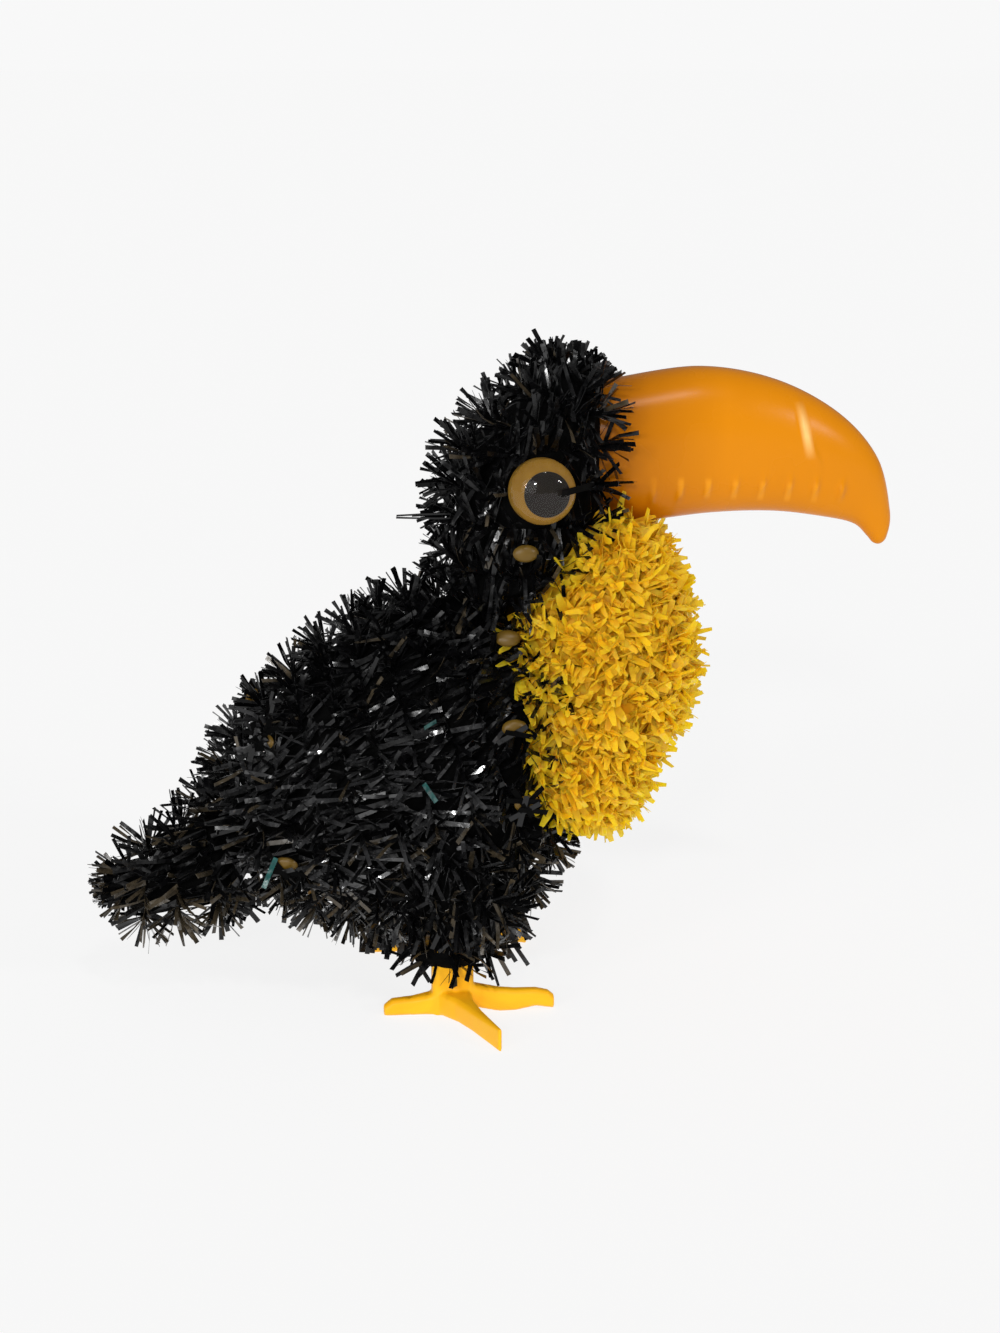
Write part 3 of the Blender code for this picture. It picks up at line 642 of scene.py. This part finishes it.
# Beak
# A hollow horn injection moulded in orange ABS, satin from its mould, with a hooked point and a row
# of soft bumps above the cutting edge.  Its root is pushed into the tinsel of the face.
BEAK_LENGTH = 0.107
BEAK_ROOT = 0.012
BEAK_HEIGHT = 0.055
BEAK_WIDTH = 0.035
FIRST_BUMP = 0.0118
BUMP_PITCH = 0.0105
BUMP_RELIEF = 0.0016
BUMP_COUNT = 8
BUMP_RISE = 0.0118           # lowest line of the beak to the middle of the bumps
BUMP_HALF_WIDTH = 0.0014
BUMP_HALF_HEIGHT = 0.0032
FOLD = ((0.1240, 0.1985), (0.1229, 0.2019), (0.1169, 0.2146), (0.1154, 0.2258))  # x and z of a soft fold
FOLD_RELIEF = 0.0007
FOLD_HALF_WIDTH = 0.0014
# The pale bump tops are a painted highlight.
BUMP_ROW_SLOPE = 0.075       # how fast the row of pale bump tops comes down towards the tip
BUMP_ROW_Z = 0.2000          # its height, carried back to the middle of the bird
# The pale streak along the fold is a painted highlight.
STREAK_SLOPE = 0.19          # lean of the pale streak along the fold
STREAK_X = 0.1582            # its place, carried down to the floor
STREAK_MIDDLE_Z = 0.2145
BEAK_SQUARENESS = 2.2
BEAK_BASE_X = 0.186 * FIGURE_HEIGHT
BEAK_EDGE_Z = 0.724 * FIGURE_HEIGHT
# Rows are (top x, top z, edge x, edge z, half width), in shares of the beak's own sizes
BEAK = (
    (0.000, 0.925, 0.060, -0.060, 0.980),
    (0.300, 0.995, 0.340, -0.010, 0.960),
    (0.570, 0.900, 0.570, -0.010, 0.840),
    (0.800, 0.665, 0.770, -0.065, 0.640),
    (0.948, 0.350, 0.872, -0.118, 0.420),
    (1.002, -0.020, 0.922, -0.205, 0.250),
    (0.996, -0.200, 0.946, -0.256, 0.160),
    (0.974, -0.262, 0.974, -0.262, 0.000),
)


def beak_mesh(ring_spacing=0.0006, sides=112):
    """The beak as a fine loft, from its root to the point of the hook."""
    sizes = np.array([BEAK_LENGTH, BEAK_HEIGHT, BEAK_LENGTH, BEAK_HEIGHT, BEAK_WIDTH / 2])
    start = np.array([BEAK_BASE_X, BEAK_EDGE_Z, BEAK_BASE_X, BEAK_EDGE_Z, 0])
    rows = np.array(BEAK) * sizes + start
    taper = 0.15 * BEAK_ROOT
    root = rows[0] + (-BEAK_ROOT, -taper, -BEAK_ROOT, taper, -taper)
    rows = np.vstack([root, rows])
    past = rows[-2][[2, 3, 0, 1, 4]] * (1, 1, 1, 1, -1)
    rows = np.vstack([2 * rows[0] - rows[1], rows, past])
    t = np.arange(40)[:, None] / 40
    path = np.vstack([0.5 * (2 * b + (c - a) * t + (2 * a - 5 * b + 4 * c - d) * t ** 2
                             + (3 * b - a - 3 * c + d) * t ** 3)
                      for a, b, c, d in zip(rows, rows[1:], rows[2:], rows[3:])] + [rows[-2]])
    steps = np.diff(path, axis=0)
    run = np.concatenate([[0], np.cumsum((np.hypot(steps[:, 0], steps[:, 1])
                                          + np.hypot(steps[:, 2], steps[:, 3])) / 2)])
    count = round(run[-1] / ring_spacing)
    goals = np.linspace(0, run[-1] * 0.9985, count)
    slices = np.stack([np.interp(goals, run, column) for column in path.T], -1)
    turn = 2 * math.pi * np.arange(sides) / sides
    c, s = np.cos(turn), np.sin(turn)
    stretch = (np.abs(c) ** BEAK_SQUARENESS + np.abs(s) ** BEAK_SQUARENESS) ** (-1 / BEAK_SQUARENESS)
    back_x, back_z, front_x, front_z, half = (column[:, None] for column in slices.T)
    x = (back_x + front_x) / 2 + stretch * c * (back_x - front_x) / 2 + CENTRING
    z = (back_z + front_z) / 2 + stretch * c * (back_z - front_z) / 2
    y = stretch * s * half
    rise = z - z.min(1, keepdims=True) - BUMP_RISE
    relief = 0 * y
    for number in range(BUMP_COUNT):
        aside = x - CENTRING - BEAK_BASE_X - FIRST_BUMP - number * BUMP_PITCH - 0.15 * rise
        relief = relief + BUMP_RELIEF * np.exp(-(aside / BUMP_HALF_WIDTH) ** 2
                                               - (rise / BUMP_HALF_HEIGHT) ** 2)
    fold_x, fold_z = np.array(FOLD).T
    aside = x - np.interp(z, fold_z, fold_x)
    fade = np.clip((z - fold_z[0]) / 0.006, 0, 1) * np.clip((fold_z[-1] + 0.004 - z) / 0.006, 0, 1)
    relief = relief + FOLD_RELIEF * fade * np.exp(-(aside / FOLD_HALF_WIDTH) ** 2)
    y = y + np.sign(s) * relief * np.abs(s)
    points = np.stack([x + 0 * y, y, z + 0 * y], -1).reshape(-1, 3)
    k = np.arange(sides)
    ring = np.stack([k, (k + 1) % sides, (k + 1) % sides + sides, k + sides], -1)
    quads = (ring[None] + sides * np.arange(count - 1)[:, None, None]).reshape(-1, 4)
    ends = points.reshape(count, sides, 3)[[0, -1]].mean(1)
    first, last = len(points), len(points) + 1
    low_fan = np.stack([k, np.full(sides, first), (k + 1) % sides], -1)
    tip_fan = np.stack([k + (count - 1) * sides, (k + 1) % sides + (count - 1) * sides,
                        np.full(sides, last)], -1)
    return np.vstack([points, ends]), [quads, low_fan, tip_fan]


def beak_material():
    """Orange ABS, satin: painted shade darkens it by the face; painted highlights pale the bumps and fold."""
    material, tree = new_material("orange_abs_satin_moulded")
    where = add_node(tree, "ShaderNodeTexCoord")
    axes = add_node(tree, "ShaderNodeSeparateXYZ", {"Vector": where.outputs["Object"]})
    cloud = add_node(tree, "ShaderNodeTexNoise", {
        "Vector": where.outputs["Object"], "Scale": 1 / 0.03, "Detail": 3.0})
    # Painted shade: the colour runs darker towards the root, where the tinsel of the face shades the beak.
    out_of_root_shade = add_node(tree, "ShaderNodeMapRange", {
        "Value": axes.outputs["X"], "From Min": BEAK_BASE_X, "From Max": BEAK_BASE_X + 0.04})
    base = add_node(tree, "ShaderNodeMix", {
        "Factor": out_of_root_shade.outputs["Result"], "A": linear("#9a5402"), "B": linear("#da8404")},
        data_type="RGBA")
    mottle = add_node(tree, "ShaderNodeMix", {
        "Factor": cloud.outputs["Fac"], "A": linear("#c47404"), "B": linear("#e08c08")},
        data_type="RGBA")
    colour = add_node(tree, "ShaderNodeMix", {
        "Factor": 0.35, "A": base.outputs["Result"], "B": mottle.outputs["Result"]},
        data_type="RGBA")
    # Painted highlight: the top of each bump is mixed paler, as where the lamps catch it.
    phase = add_node(tree, "ShaderNodeMapRange", {
        "Value": axes.outputs["X"], "From Min": CENTRING + BEAK_BASE_X + FIRST_BUMP,
        "From Max": CENTRING + BEAK_BASE_X + FIRST_BUMP + BUMP_PITCH, "To Max": 2 * math.pi},
        clamp=False)
    wave = add_node(tree, "ShaderNodeMath", {0: phase.outputs["Result"]}, operation="COSINE")
    row = add_node(tree, "ShaderNodeMapRange", {
        "Value": wave.outputs["Value"], "From Min": 0.62, "From Max": 0.95})
    drop = add_node(tree, "ShaderNodeMath", {
        0: axes.outputs["X"], 1: BUMP_ROW_SLOPE, 2: axes.outputs["Z"]}, operation="MULTIPLY_ADD")
    aside = add_node(tree, "ShaderNodeMath", {0: drop.outputs["Value"], 1: BUMP_ROW_Z}, operation="SUBTRACT")
    apart = add_node(tree, "ShaderNodeMath", {0: aside.outputs["Value"]}, operation="ABSOLUTE")
    band = add_node(tree, "ShaderNodeMapRange", {
        "Value": apart.outputs["Value"], "From Min": 0.0026, "From Max": 0.0046,
        "To Min": 0.7, "To Max": 0.0})
    painted_bump_highlight = add_node(tree, "ShaderNodeMath", {
        0: row.outputs["Result"], 1: band.outputs["Result"]}, operation="MULTIPLY")
    middle_x = BEAK_BASE_X + CENTRING + FIRST_BUMP + 0.5 * (BUMP_COUNT - 1) * BUMP_PITCH
    off_middle = add_node(tree, "ShaderNodeMath", {0: axes.outputs["X"], 1: middle_x}, operation="SUBTRACT")
    far = add_node(tree, "ShaderNodeMath", {0: off_middle.outputs["Value"]}, operation="ABSOLUTE")
    fade = add_node(tree, "ShaderNodeMapRange", {
        "Value": far.outputs["Value"], "From Min": 0.022, "From Max": 0.040, "To Min": 0.75, "To Max": 0.0})
    painted_bump_highlight = add_node(tree, "ShaderNodeMath", {
        0: painted_bump_highlight.outputs["Value"], 1: fade.outputs["Result"]}, operation="MULTIPLY")
    # Painted highlight: a pale streak along the fold, where a lamp's reflection runs.
    line = add_node(tree, "ShaderNodeMath", {
        0: axes.outputs["Z"], 1: STREAK_SLOPE, 2: axes.outputs["X"]}, operation="MULTIPLY_ADD")
    off_line = add_node(tree, "ShaderNodeMath", {
        0: line.outputs["Value"], 1: STREAK_X}, operation="SUBTRACT")
    from_line = add_node(tree, "ShaderNodeMath", {0: off_line.outputs["Value"]}, operation="ABSOLUTE")
    streak = add_node(tree, "ShaderNodeMapRange", {
        "Value": from_line.outputs["Value"], "From Min": 0.0006, "From Max": 0.0024,
        "To Min": 1.0, "To Max": 0.0})
    off_height = add_node(tree, "ShaderNodeMath", {
        0: axes.outputs["Z"], 1: STREAK_MIDDLE_Z}, operation="SUBTRACT")
    from_height = add_node(tree, "ShaderNodeMath", {0: off_height.outputs["Value"]}, operation="ABSOLUTE")
    ends = add_node(tree, "ShaderNodeMapRange", {
        "Value": from_height.outputs["Value"], "From Min": 0.002, "From Max": 0.011,
        "To Min": 0.8, "To Max": 0.0})
    painted_fold_highlight = add_node(tree, "ShaderNodeMath", {
        0: streak.outputs["Result"], 1: ends.outputs["Result"]}, operation="MULTIPLY")
    # The painted highlight on the bump tops is mixed in here.
    colour = add_node(tree, "ShaderNodeMix", {
        "Factor": painted_bump_highlight.outputs["Value"], "A": colour.outputs["Result"], "B": linear("#f2a020")},
        data_type="RGBA")
    # The painted highlight along the fold is mixed in here.
    colour = add_node(tree, "ShaderNodeMix", {
        "Factor": painted_fold_highlight.outputs["Value"], "A": colour.outputs["Result"], "B": linear("#ffd080")},
        data_type="RGBA")
    grain = add_node(tree, "ShaderNodeTexNoise", {
        "Vector": where.outputs["Object"], "Scale": 1 / 0.0008, "Detail": 2.0})
    bump = add_node(tree, "ShaderNodeBump", {
        "Height": grain.outputs["Fac"], "Strength": 0.12, "Distance": 0.0002})
    rough = add_node(tree, "ShaderNodeMapRange", {
        "Value": cloud.outputs["Fac"], "To Min": 0.2, "To Max": 0.34})
    shader = add_node(tree, "ShaderNodeBsdfPrincipled", {
        "Base Color": colour.outputs["Result"], "Roughness": rough.outputs["Result"],
        "Specular IOR Level": 0.14, "Normal": bump.outputs["Normal"]})
    add_node(tree, "ShaderNodeOutputMaterial", {"Surface": shader.outputs["BSDF"]})
    return material


points, groups = beak_mesh()
beak = mesh_piece("moulded_beak", points, groups, sharp=60)
beak.data.materials.append(beak_material())
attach(beak, "root")
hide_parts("beak")

# Eyes
# Two 24 mm craft eyes: a clear acrylic dome, flat behind, where an amber ring and a black pupil are
# printed.  Each is glued by its rim into the side of the head.
PUPIL_SHARE = 0.630          # pupil diameter in shares of the eye's
PUPIL_SHIFT = (0.0012, -0.0009)   # ahead and up, from the middle of the ring


def turned(profile, sides=64, squash=1.0):
    """Points and faces turned about Z from (radius, height) rows; the first and last are poles."""
    turn = 2 * math.pi * np.arange(sides) / sides
    rings = [np.stack([radius * np.cos(turn), squash * radius * np.sin(turn),
                       np.full(sides, height)], -1) for radius, height in profile[1:-1]]
    points = np.vstack(rings + [[(0, 0, profile[0][1])], [(0, 0, profile[-1][1])]])
    k = np.arange(sides)
    count = len(rings)
    ring = np.stack([k, (k + 1) % sides, (k + 1) % sides + sides, k + sides], -1)
    quads = (ring[None] + sides * np.arange(count - 1)[:, None, None]).reshape(-1, 4)
    first, last = count * sides, count * sides + 1
    low = np.stack([(k + 1) % sides, k, np.full(sides, first)], -1)
    top = np.stack([k + (count - 1) * sides, (k + 1) % sides + (count - 1) * sides,
                    np.full(sides, last)], -1)
    return points, [quads, low, top]


def set_on(points, middle, long, out):
    """Move points from their own axes to a place: their X along long and their Z along out."""
    across = np.cross(out, long)
    return middle + points @ np.array([long, across, out])


def clear_acrylic():
    """Cast clear acrylic: see-through, polished, with faint wear on its crown."""
    material, tree = new_material("clear_acrylic_polished")
    where = add_node(tree, "ShaderNodeTexCoord")
    wear = add_node(tree, "ShaderNodeTexNoise", {
        "Vector": where.outputs["Object"], "Scale": 1 / 0.004, "Detail": 3.0})
    rough = add_node(tree, "ShaderNodeMapRange", {
        "Value": wear.outputs["Fac"], "To Min": 0.02, "To Max": 0.05})
    shader = add_node(tree, "ShaderNodeBsdfPrincipled", {
        "Base Color": linear("#ffffff"), "Roughness": rough.outputs["Result"], "IOR": 1.34,
        "Transmission Weight": 1.0})
    add_node(tree, "ShaderNodeOutputMaterial", {"Surface": shader.outputs["BSDF"]})
    return material


def printed_ink(name, inner, outer, rough):
    """Ink printed on the flat back of the dome: an even coat with a soft mottle."""
    material, tree = new_material(name)
    where = add_node(tree, "ShaderNodeTexCoord")
    mottle = add_node(tree, "ShaderNodeTexNoise", {
        "Vector": where.outputs["Object"], "Scale": 1 / 0.003, "Detail": 3.0})
    colour = add_node(tree, "ShaderNodeMix", {
        "Factor": mottle.outputs["Fac"], "A": linear(inner), "B": linear(outer)},
        data_type="RGBA")
    shader = add_node(tree, "ShaderNodeBsdfPrincipled", {
        "Base Color": colour.outputs["Result"], "Roughness": rough, "Specular IOR Level": 0.1})
    add_node(tree, "ShaderNodeOutputMaterial", {"Surface": shader.outputs["BSDF"]})
    return material


acrylic = clear_acrylic()
amber_ink = printed_ink("amber_screen_ink", "#8a6520", "#a37a2c", 0.45)
pupil_ink = printed_ink("black_screen_ink", "#171310", "#241d16", 0.4)
for side in ("right", "left"):
    name = side + "_eye"
    middle, out, _, spans = facing_of(name)
    radius, depth = spans[0], 2 * spans[2]
    long = unit(np.array([1.0, 0, 0]) - out * out[0])
    base = middle - out * spans[2]
    rim = depth * 0.4
    arc = np.radians(np.linspace(0, 90, 16))
    dome_profile = [(0, rim)] + [(radius * 0.97, rim)] \
        + [(radius * math.cos(a), rim + 0.0003 + (depth - rim - 0.0003) * math.sin(a)) for a in arc[:-1]] \
        + [(0, depth)]
    iris_profile = [(0, 0), (radius * 0.94, 0), (radius, 0.0004), (radius, rim),
                    (radius * 0.965, rim + 0.0002), (0, rim + 0.0002)]
    pupil_radius = radius * PUPIL_SHARE
    pupil_profile = [(0, rim), (pupil_radius, rim),
                     (pupil_radius, rim + 0.0004), (0, rim + 0.0004)]
    for kind, profile, material in (("dome", dome_profile, acrylic), ("iris", iris_profile, amber_ink),
                                    ("pupil", pupil_profile, pupil_ink)):
        points, groups = turned(profile)
        place = base
        if kind == "pupil":
            up = np.cross(out, long) * np.sign(np.cross(out, long)[2])
            place = base + long * PUPIL_SHIFT[0] + up * PUPIL_SHIFT[1]
        piece = mesh_piece(f"{name}_{kind}", set_on(points, place, long, out), groups)
        piece.data.materials.append(material)
        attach(piece, "root")
        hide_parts(name)

# Studs
# Small oval cabochons moulded in tan polystyrene, glued among the strips along the seam and on the
# flank.  Their faces are smooth, with a soft gloss and a thin moulding edge near the widest line.


def stud_material():
    """Tan polystyrene, moulded and lightly tumbled: smooth and half glossy, its tan painted dark as shade."""
    material, tree = new_material("tan_polystyrene_with_painted_shade")
    where = add_node(tree, "ShaderNodeTexCoord")
    cloud = add_node(tree, "ShaderNodeTexNoise", {
        "Vector": where.outputs["Object"], "Scale": 1 / 0.004, "Detail": 3.0})
    # Painted shade: the tan is mixed dark, as where the strips that close round the studs shade them.
    colour = add_node(tree, "ShaderNodeMix", {
        "Factor": cloud.outputs["Fac"], "A": linear("#5a4312"), "B": linear("#6c531a")},
        data_type="RGBA")
    rough = add_node(tree, "ShaderNodeMapRange", {
        "Value": cloud.outputs["Fac"], "To Min": 0.3, "To Max": 0.45})
    shader = add_node(tree, "ShaderNodeBsdfPrincipled", {
        "Base Color": colour.outputs["Result"], "Roughness": rough.outputs["Result"],
        "Specular IOR Level": 0.3})
    add_node(tree, "ShaderNodeOutputMaterial", {"Surface": shader.outputs["BSDF"]})
    return material


tan_plastic = stud_material()
for name in sorted(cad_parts):
    if "stud" not in name:
        continue
    middle, out, long, spans = facing_of(name)
    length, height, thick = spans
    steps = np.radians(np.linspace(-90, 90, 19))
    profile = [(0 if abs(a) > 1.57 else length * math.cos(a) ** 0.85, thick * math.sin(a)) for a in steps]
    profile.insert(10, (length * 1.02, 0.0001))
    points, groups = turned(profile, 40, height / length)
    piece = mesh_piece(name + "_cabochon", set_on(points, middle, long, out), groups, sharp=50)
    piece.data.materials.append(tan_plastic)
    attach(piece, "root")
    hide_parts(name)

# Feet
# Each foot is one piece moulded in yellow polyethylene: a flat shank with three flat-sided toes, its
# edges softened by the mould.  The outer toe thins to an upright edge.  The shank goes up into the thigh.
LEG_WIDTH = 0.0156
LEG_THICKNESS = 0.0075
LEG_TOP = 0.037
TOE_WIDTH = 0.0056
TOE_HEIGHT = 0.0066
FOOT_VOXEL = 0.0005
# Length, angle from straight ahead, and rows along the toe, which are shares of the length, then the
# lift of its underside, its height and its width in shares of the toe's own
TOES = (
    (0.0385, -2, ((0.00, 0, 1.75, 1.6), (0.22, 0.30, 1.35, 1.1), (0.45, 0, 1.35, 1.0), (0.62, 0, 1.25, 1.0),
                  (0.82, 0.22, 1.02, 0.95), (0.94, 0.1, 0.98, 0.9), (1.00, 0, 0.80, 0.7))),
    (0.0430, -73, ((0.00, 0, 1.45, 2.6), (0.12, 0, 1.42, 2.0), (0.26, 0, 1.38, 1.3), (0.50, 0, 1.34, 0.85),
                   (0.80, 0, 1.32, 0.52), (1.00, 0, 1.30, 0.25))),
    (0.0260, 180, ((0.00, 0, 1.75, 1.6), (0.34, 0, 1.2, 1.2), (0.60, 0, 1.02, 1.0), (0.88, 0, 0.95, 0.95),
                   (1.00, 0, 0.6, 0.75))),
)


def rounded_box(width, height, low, corner=0.0013):
    """Across and up for the eight corners of a box with clipped corners, standing on low."""
    r = min(corner, width / 3, height / 3)
    w, top = width / 2, low + height
    return np.array([(-w + r, low), (w - r, low), (w, low + r), (w, top - r),
                     (w - r, top), (-w + r, top), (-w, top - r), (-w, low + r)])


def skinned(rings):
    """Points and faces of a closed bar through rings of eight points."""
    k = np.arange(8)
    side = np.stack([k, (k + 1) % 8, (k + 1) % 8 + 8, k + 8], -1)
    quads = (side[None] + 8 * np.arange(len(rings) - 1)[:, None, None]).reshape(-1, 4)
    return np.vstack(rings), quads, np.stack([k[::-1], k + 8 * (len(rings) - 1)])


def foot_mesh(side):
    """The shank and toes of one foot as overlapping bars; side is -1 for the right foot."""
    bars = []
    rings = []
    for height in (0.0, 0.4 * LEG_TOP, LEG_TOP):
        flat = rounded_box(LEG_THICKNESS, LEG_WIDTH, -LEG_WIDTH / 2)
        rings.append(np.stack([flat[:, 1], flat[:, 0], np.full(8, height)], -1))
    bars.append(skinned(rings))
    for length, angle, rows in TOES:
        a = math.radians(angle if side < 0 else -angle)
        turn = np.array([(math.cos(a), math.sin(a), 0), (-math.sin(a), math.cos(a), 0), (0, 0, 1)])
        rings = []
        for share, lift, tall, wide in rows:
            flat = rounded_box(TOE_WIDTH * wide, TOE_HEIGHT * tall, lift * TOE_HEIGHT)
            rings.append(np.column_stack([np.full(8, share * length), flat]) @ turn)
        bars.append(skinned(rings))
    starts = np.cumsum([0] + [len(bar[0]) for bar in bars])
    points = np.vstack([bar[0] for bar in bars]) + (LEG_X + CENTRING, side * LEG_SPREAD, 0)
    return points, [group + start for bar, start in zip(bars, starts) for group in bar[1:]]


def foot_material():
    """Yellow polyethylene, moulded: waxy, half glossy, a little deeper in colour in soft patches."""
    material, tree = new_material("yellow_polyethylene_moulded")
    where = add_node(tree, "ShaderNodeTexCoord")
    cloud = add_node(tree, "ShaderNodeTexNoise", {
        "Vector": where.outputs["Object"], "Scale": 1 / 0.012, "Detail": 3.0})
    colour = add_node(tree, "ShaderNodeMix", {
        "Factor": cloud.outputs["Fac"], "A": linear("#fbac0c"), "B": linear("#ffc41a")},
        data_type="RGBA")
    grain = add_node(tree, "ShaderNodeTexNoise", {
        "Vector": where.outputs["Object"], "Scale": 1 / 0.0012, "Detail": 2.0})
    bump = add_node(tree, "ShaderNodeBump", {
        "Height": grain.outputs["Fac"], "Strength": 0.15, "Distance": 0.0003})
    rough = add_node(tree, "ShaderNodeMapRange", {
        "Value": cloud.outputs["Fac"], "To Min": 0.38, "To Max": 0.5})
    shader = add_node(tree, "ShaderNodeBsdfPrincipled", {
        "Base Color": colour.outputs["Result"], "Roughness": rough.outputs["Result"],
        "Specular IOR Level": 0.25, "Normal": bump.outputs["Normal"]})
    add_node(tree, "ShaderNodeOutputMaterial", {"Surface": shader.outputs["BSDF"]})
    return material


yellow_plastic = foot_material()
for side, sign in (("right", -1), ("left", 1)):
    points, groups = foot_mesh(sign)
    foot = mesh_piece(side + "_moulded_foot", points, groups)
    remesh = foot.modifiers.new("even_faces", "REMESH")
    remesh.mode = "VOXEL"
    remesh.voxel_size = FOOT_VOXEL
    soften = foot.modifiers.new("soft_edges", "SMOOTH")
    soften.factor = 0.5
    soften.iterations = 5
    bpy.context.view_layer.update()
    shaped = foot.evaluated_get(bpy.context.evaluated_depsgraph_get())
    mesh = bpy.data.meshes.new_from_object(shaped)
    foot.modifiers.clear()
    foot.data = mesh
    mesh.materials.clear()
    mesh.materials.append(yellow_plastic)
    mesh.shade_smooth()
    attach(foot, "root")
    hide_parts(side + "_foot")

# Floor and background
# A white light table, wide enough to have no edge in view, under a pale surround.
floor_mesh = bpy.data.meshes.new("light_table")
reach = 40.0
floor_mesh.from_pydata([(-reach, -reach, 0), (reach, -reach, 0), (reach, reach, 0), (-reach, reach, 0)],
                       [], [(0, 1, 2, 3)])
floor = bpy.data.objects.new("light_table", floor_mesh)
bpy.context.collection.objects.link(floor)
material, tree = new_material("opal_acrylic_lit_from_below")
shader = add_node(tree, "ShaderNodeBsdfPrincipled", {
    "Base Color": linear("#707070"), "Roughness": 1.0, "Specular IOR Level": 0.0,
    "Emission Color": linear("#ffffff"), "Emission Strength": 0.83})
add_node(tree, "ShaderNodeOutputMaterial", {"Surface": shader.outputs["BSDF"]})
floor_mesh.materials.append(material)

world = bpy.data.worlds.new("studio")
bpy.context.scene.world = world
world.use_nodes = True
tree = world.node_tree
tree.nodes.clear()
rays = add_node(tree, "ShaderNodeLightPath")
strength = add_node(tree, "ShaderNodeMapRange", {
    "Value": rays.outputs["Is Camera Ray"], "To Min": 0.28, "To Max": 0.94})
background = add_node(tree, "ShaderNodeBackground", {
    "Color": (1, 1, 1, 1), "Strength": strength.outputs["Result"]})
add_node(tree, "ShaderNodeOutputWorld", {"Surface": background.outputs["Background"]})

# Lights
# A wide soft lamp low on the left of the camera, and four small ones: one from the bird's front, and
# three low on the left, beside the camera and high on the right, for glints on film and plastic.
CAMERA_AZIMUTH = -8.0
CAMERA_ELEVATION = 14.0
CAMERA_DISTANCE = 0.943
CAMERA_TARGET = (0.0042, 0.0, 0.125)
CAMERA_LENS = 67.03          # for a 36 mm sensor along the tall side of the frame


def direction(azimuth, elevation):
    """From the bird towards a lamp or the camera: azimuth 0 is -Y and 90 is +X."""
    a, e = math.radians(azimuth), math.radians(elevation)
    return Vector((math.sin(a) * math.cos(e), -math.cos(a) * math.cos(e), math.sin(e)))


def lamp(name, azimuth, elevation, spread, strength):
    """A far soft box: spread is the angle in degrees that it fills, seen from the bird."""
    data = bpy.data.lights.new(name, "SUN")
    data.angle = math.radians(spread)
    data.energy = strength
    thing = bpy.data.objects.new(name, data)
    way = direction(azimuth, elevation)
    thing.location = Vector(CAMERA_TARGET) + way
    thing.rotation_mode = "QUATERNION"
    thing.rotation_quaternion = (-way).to_track_quat("-Z", "Y")
    bpy.context.collection.objects.link(thing)


lamp("key", CAMERA_AZIMUTH - 27, 12, 45, 0.75)
lamp("side", CAMERA_AZIMUTH + 55, 22, 7, 0.6)
lamp("glints_low", CAMERA_AZIMUTH - 8, 22, 5, 0.65)
lamp("glints_left", CAMERA_AZIMUTH - 35, 16, 9, 0.45)
lamp("glints_high", CAMERA_AZIMUTH + 18, 50, 5, 0.5)

# Camera
# It looks from the right side of the bird, a little above it, as the photograph does.
camera_data = bpy.data.cameras.new("camera")
camera_data.sensor_width = 36
camera_data.lens = CAMERA_LENS
camera_data.clip_start = 0.05
camera = bpy.data.objects.new("camera", camera_data)
back = direction(CAMERA_AZIMUTH, CAMERA_ELEVATION)
camera.location = Vector(CAMERA_TARGET) + back * CAMERA_DISTANCE
camera.rotation_mode = "QUATERNION"
camera.rotation_quaternion = (-back).to_track_quat("-Z", "Y")
bpy.context.collection.objects.link(camera)
bpy.context.scene.camera = camera
bpy.context.scene.view_settings.view_transform = "Standard"
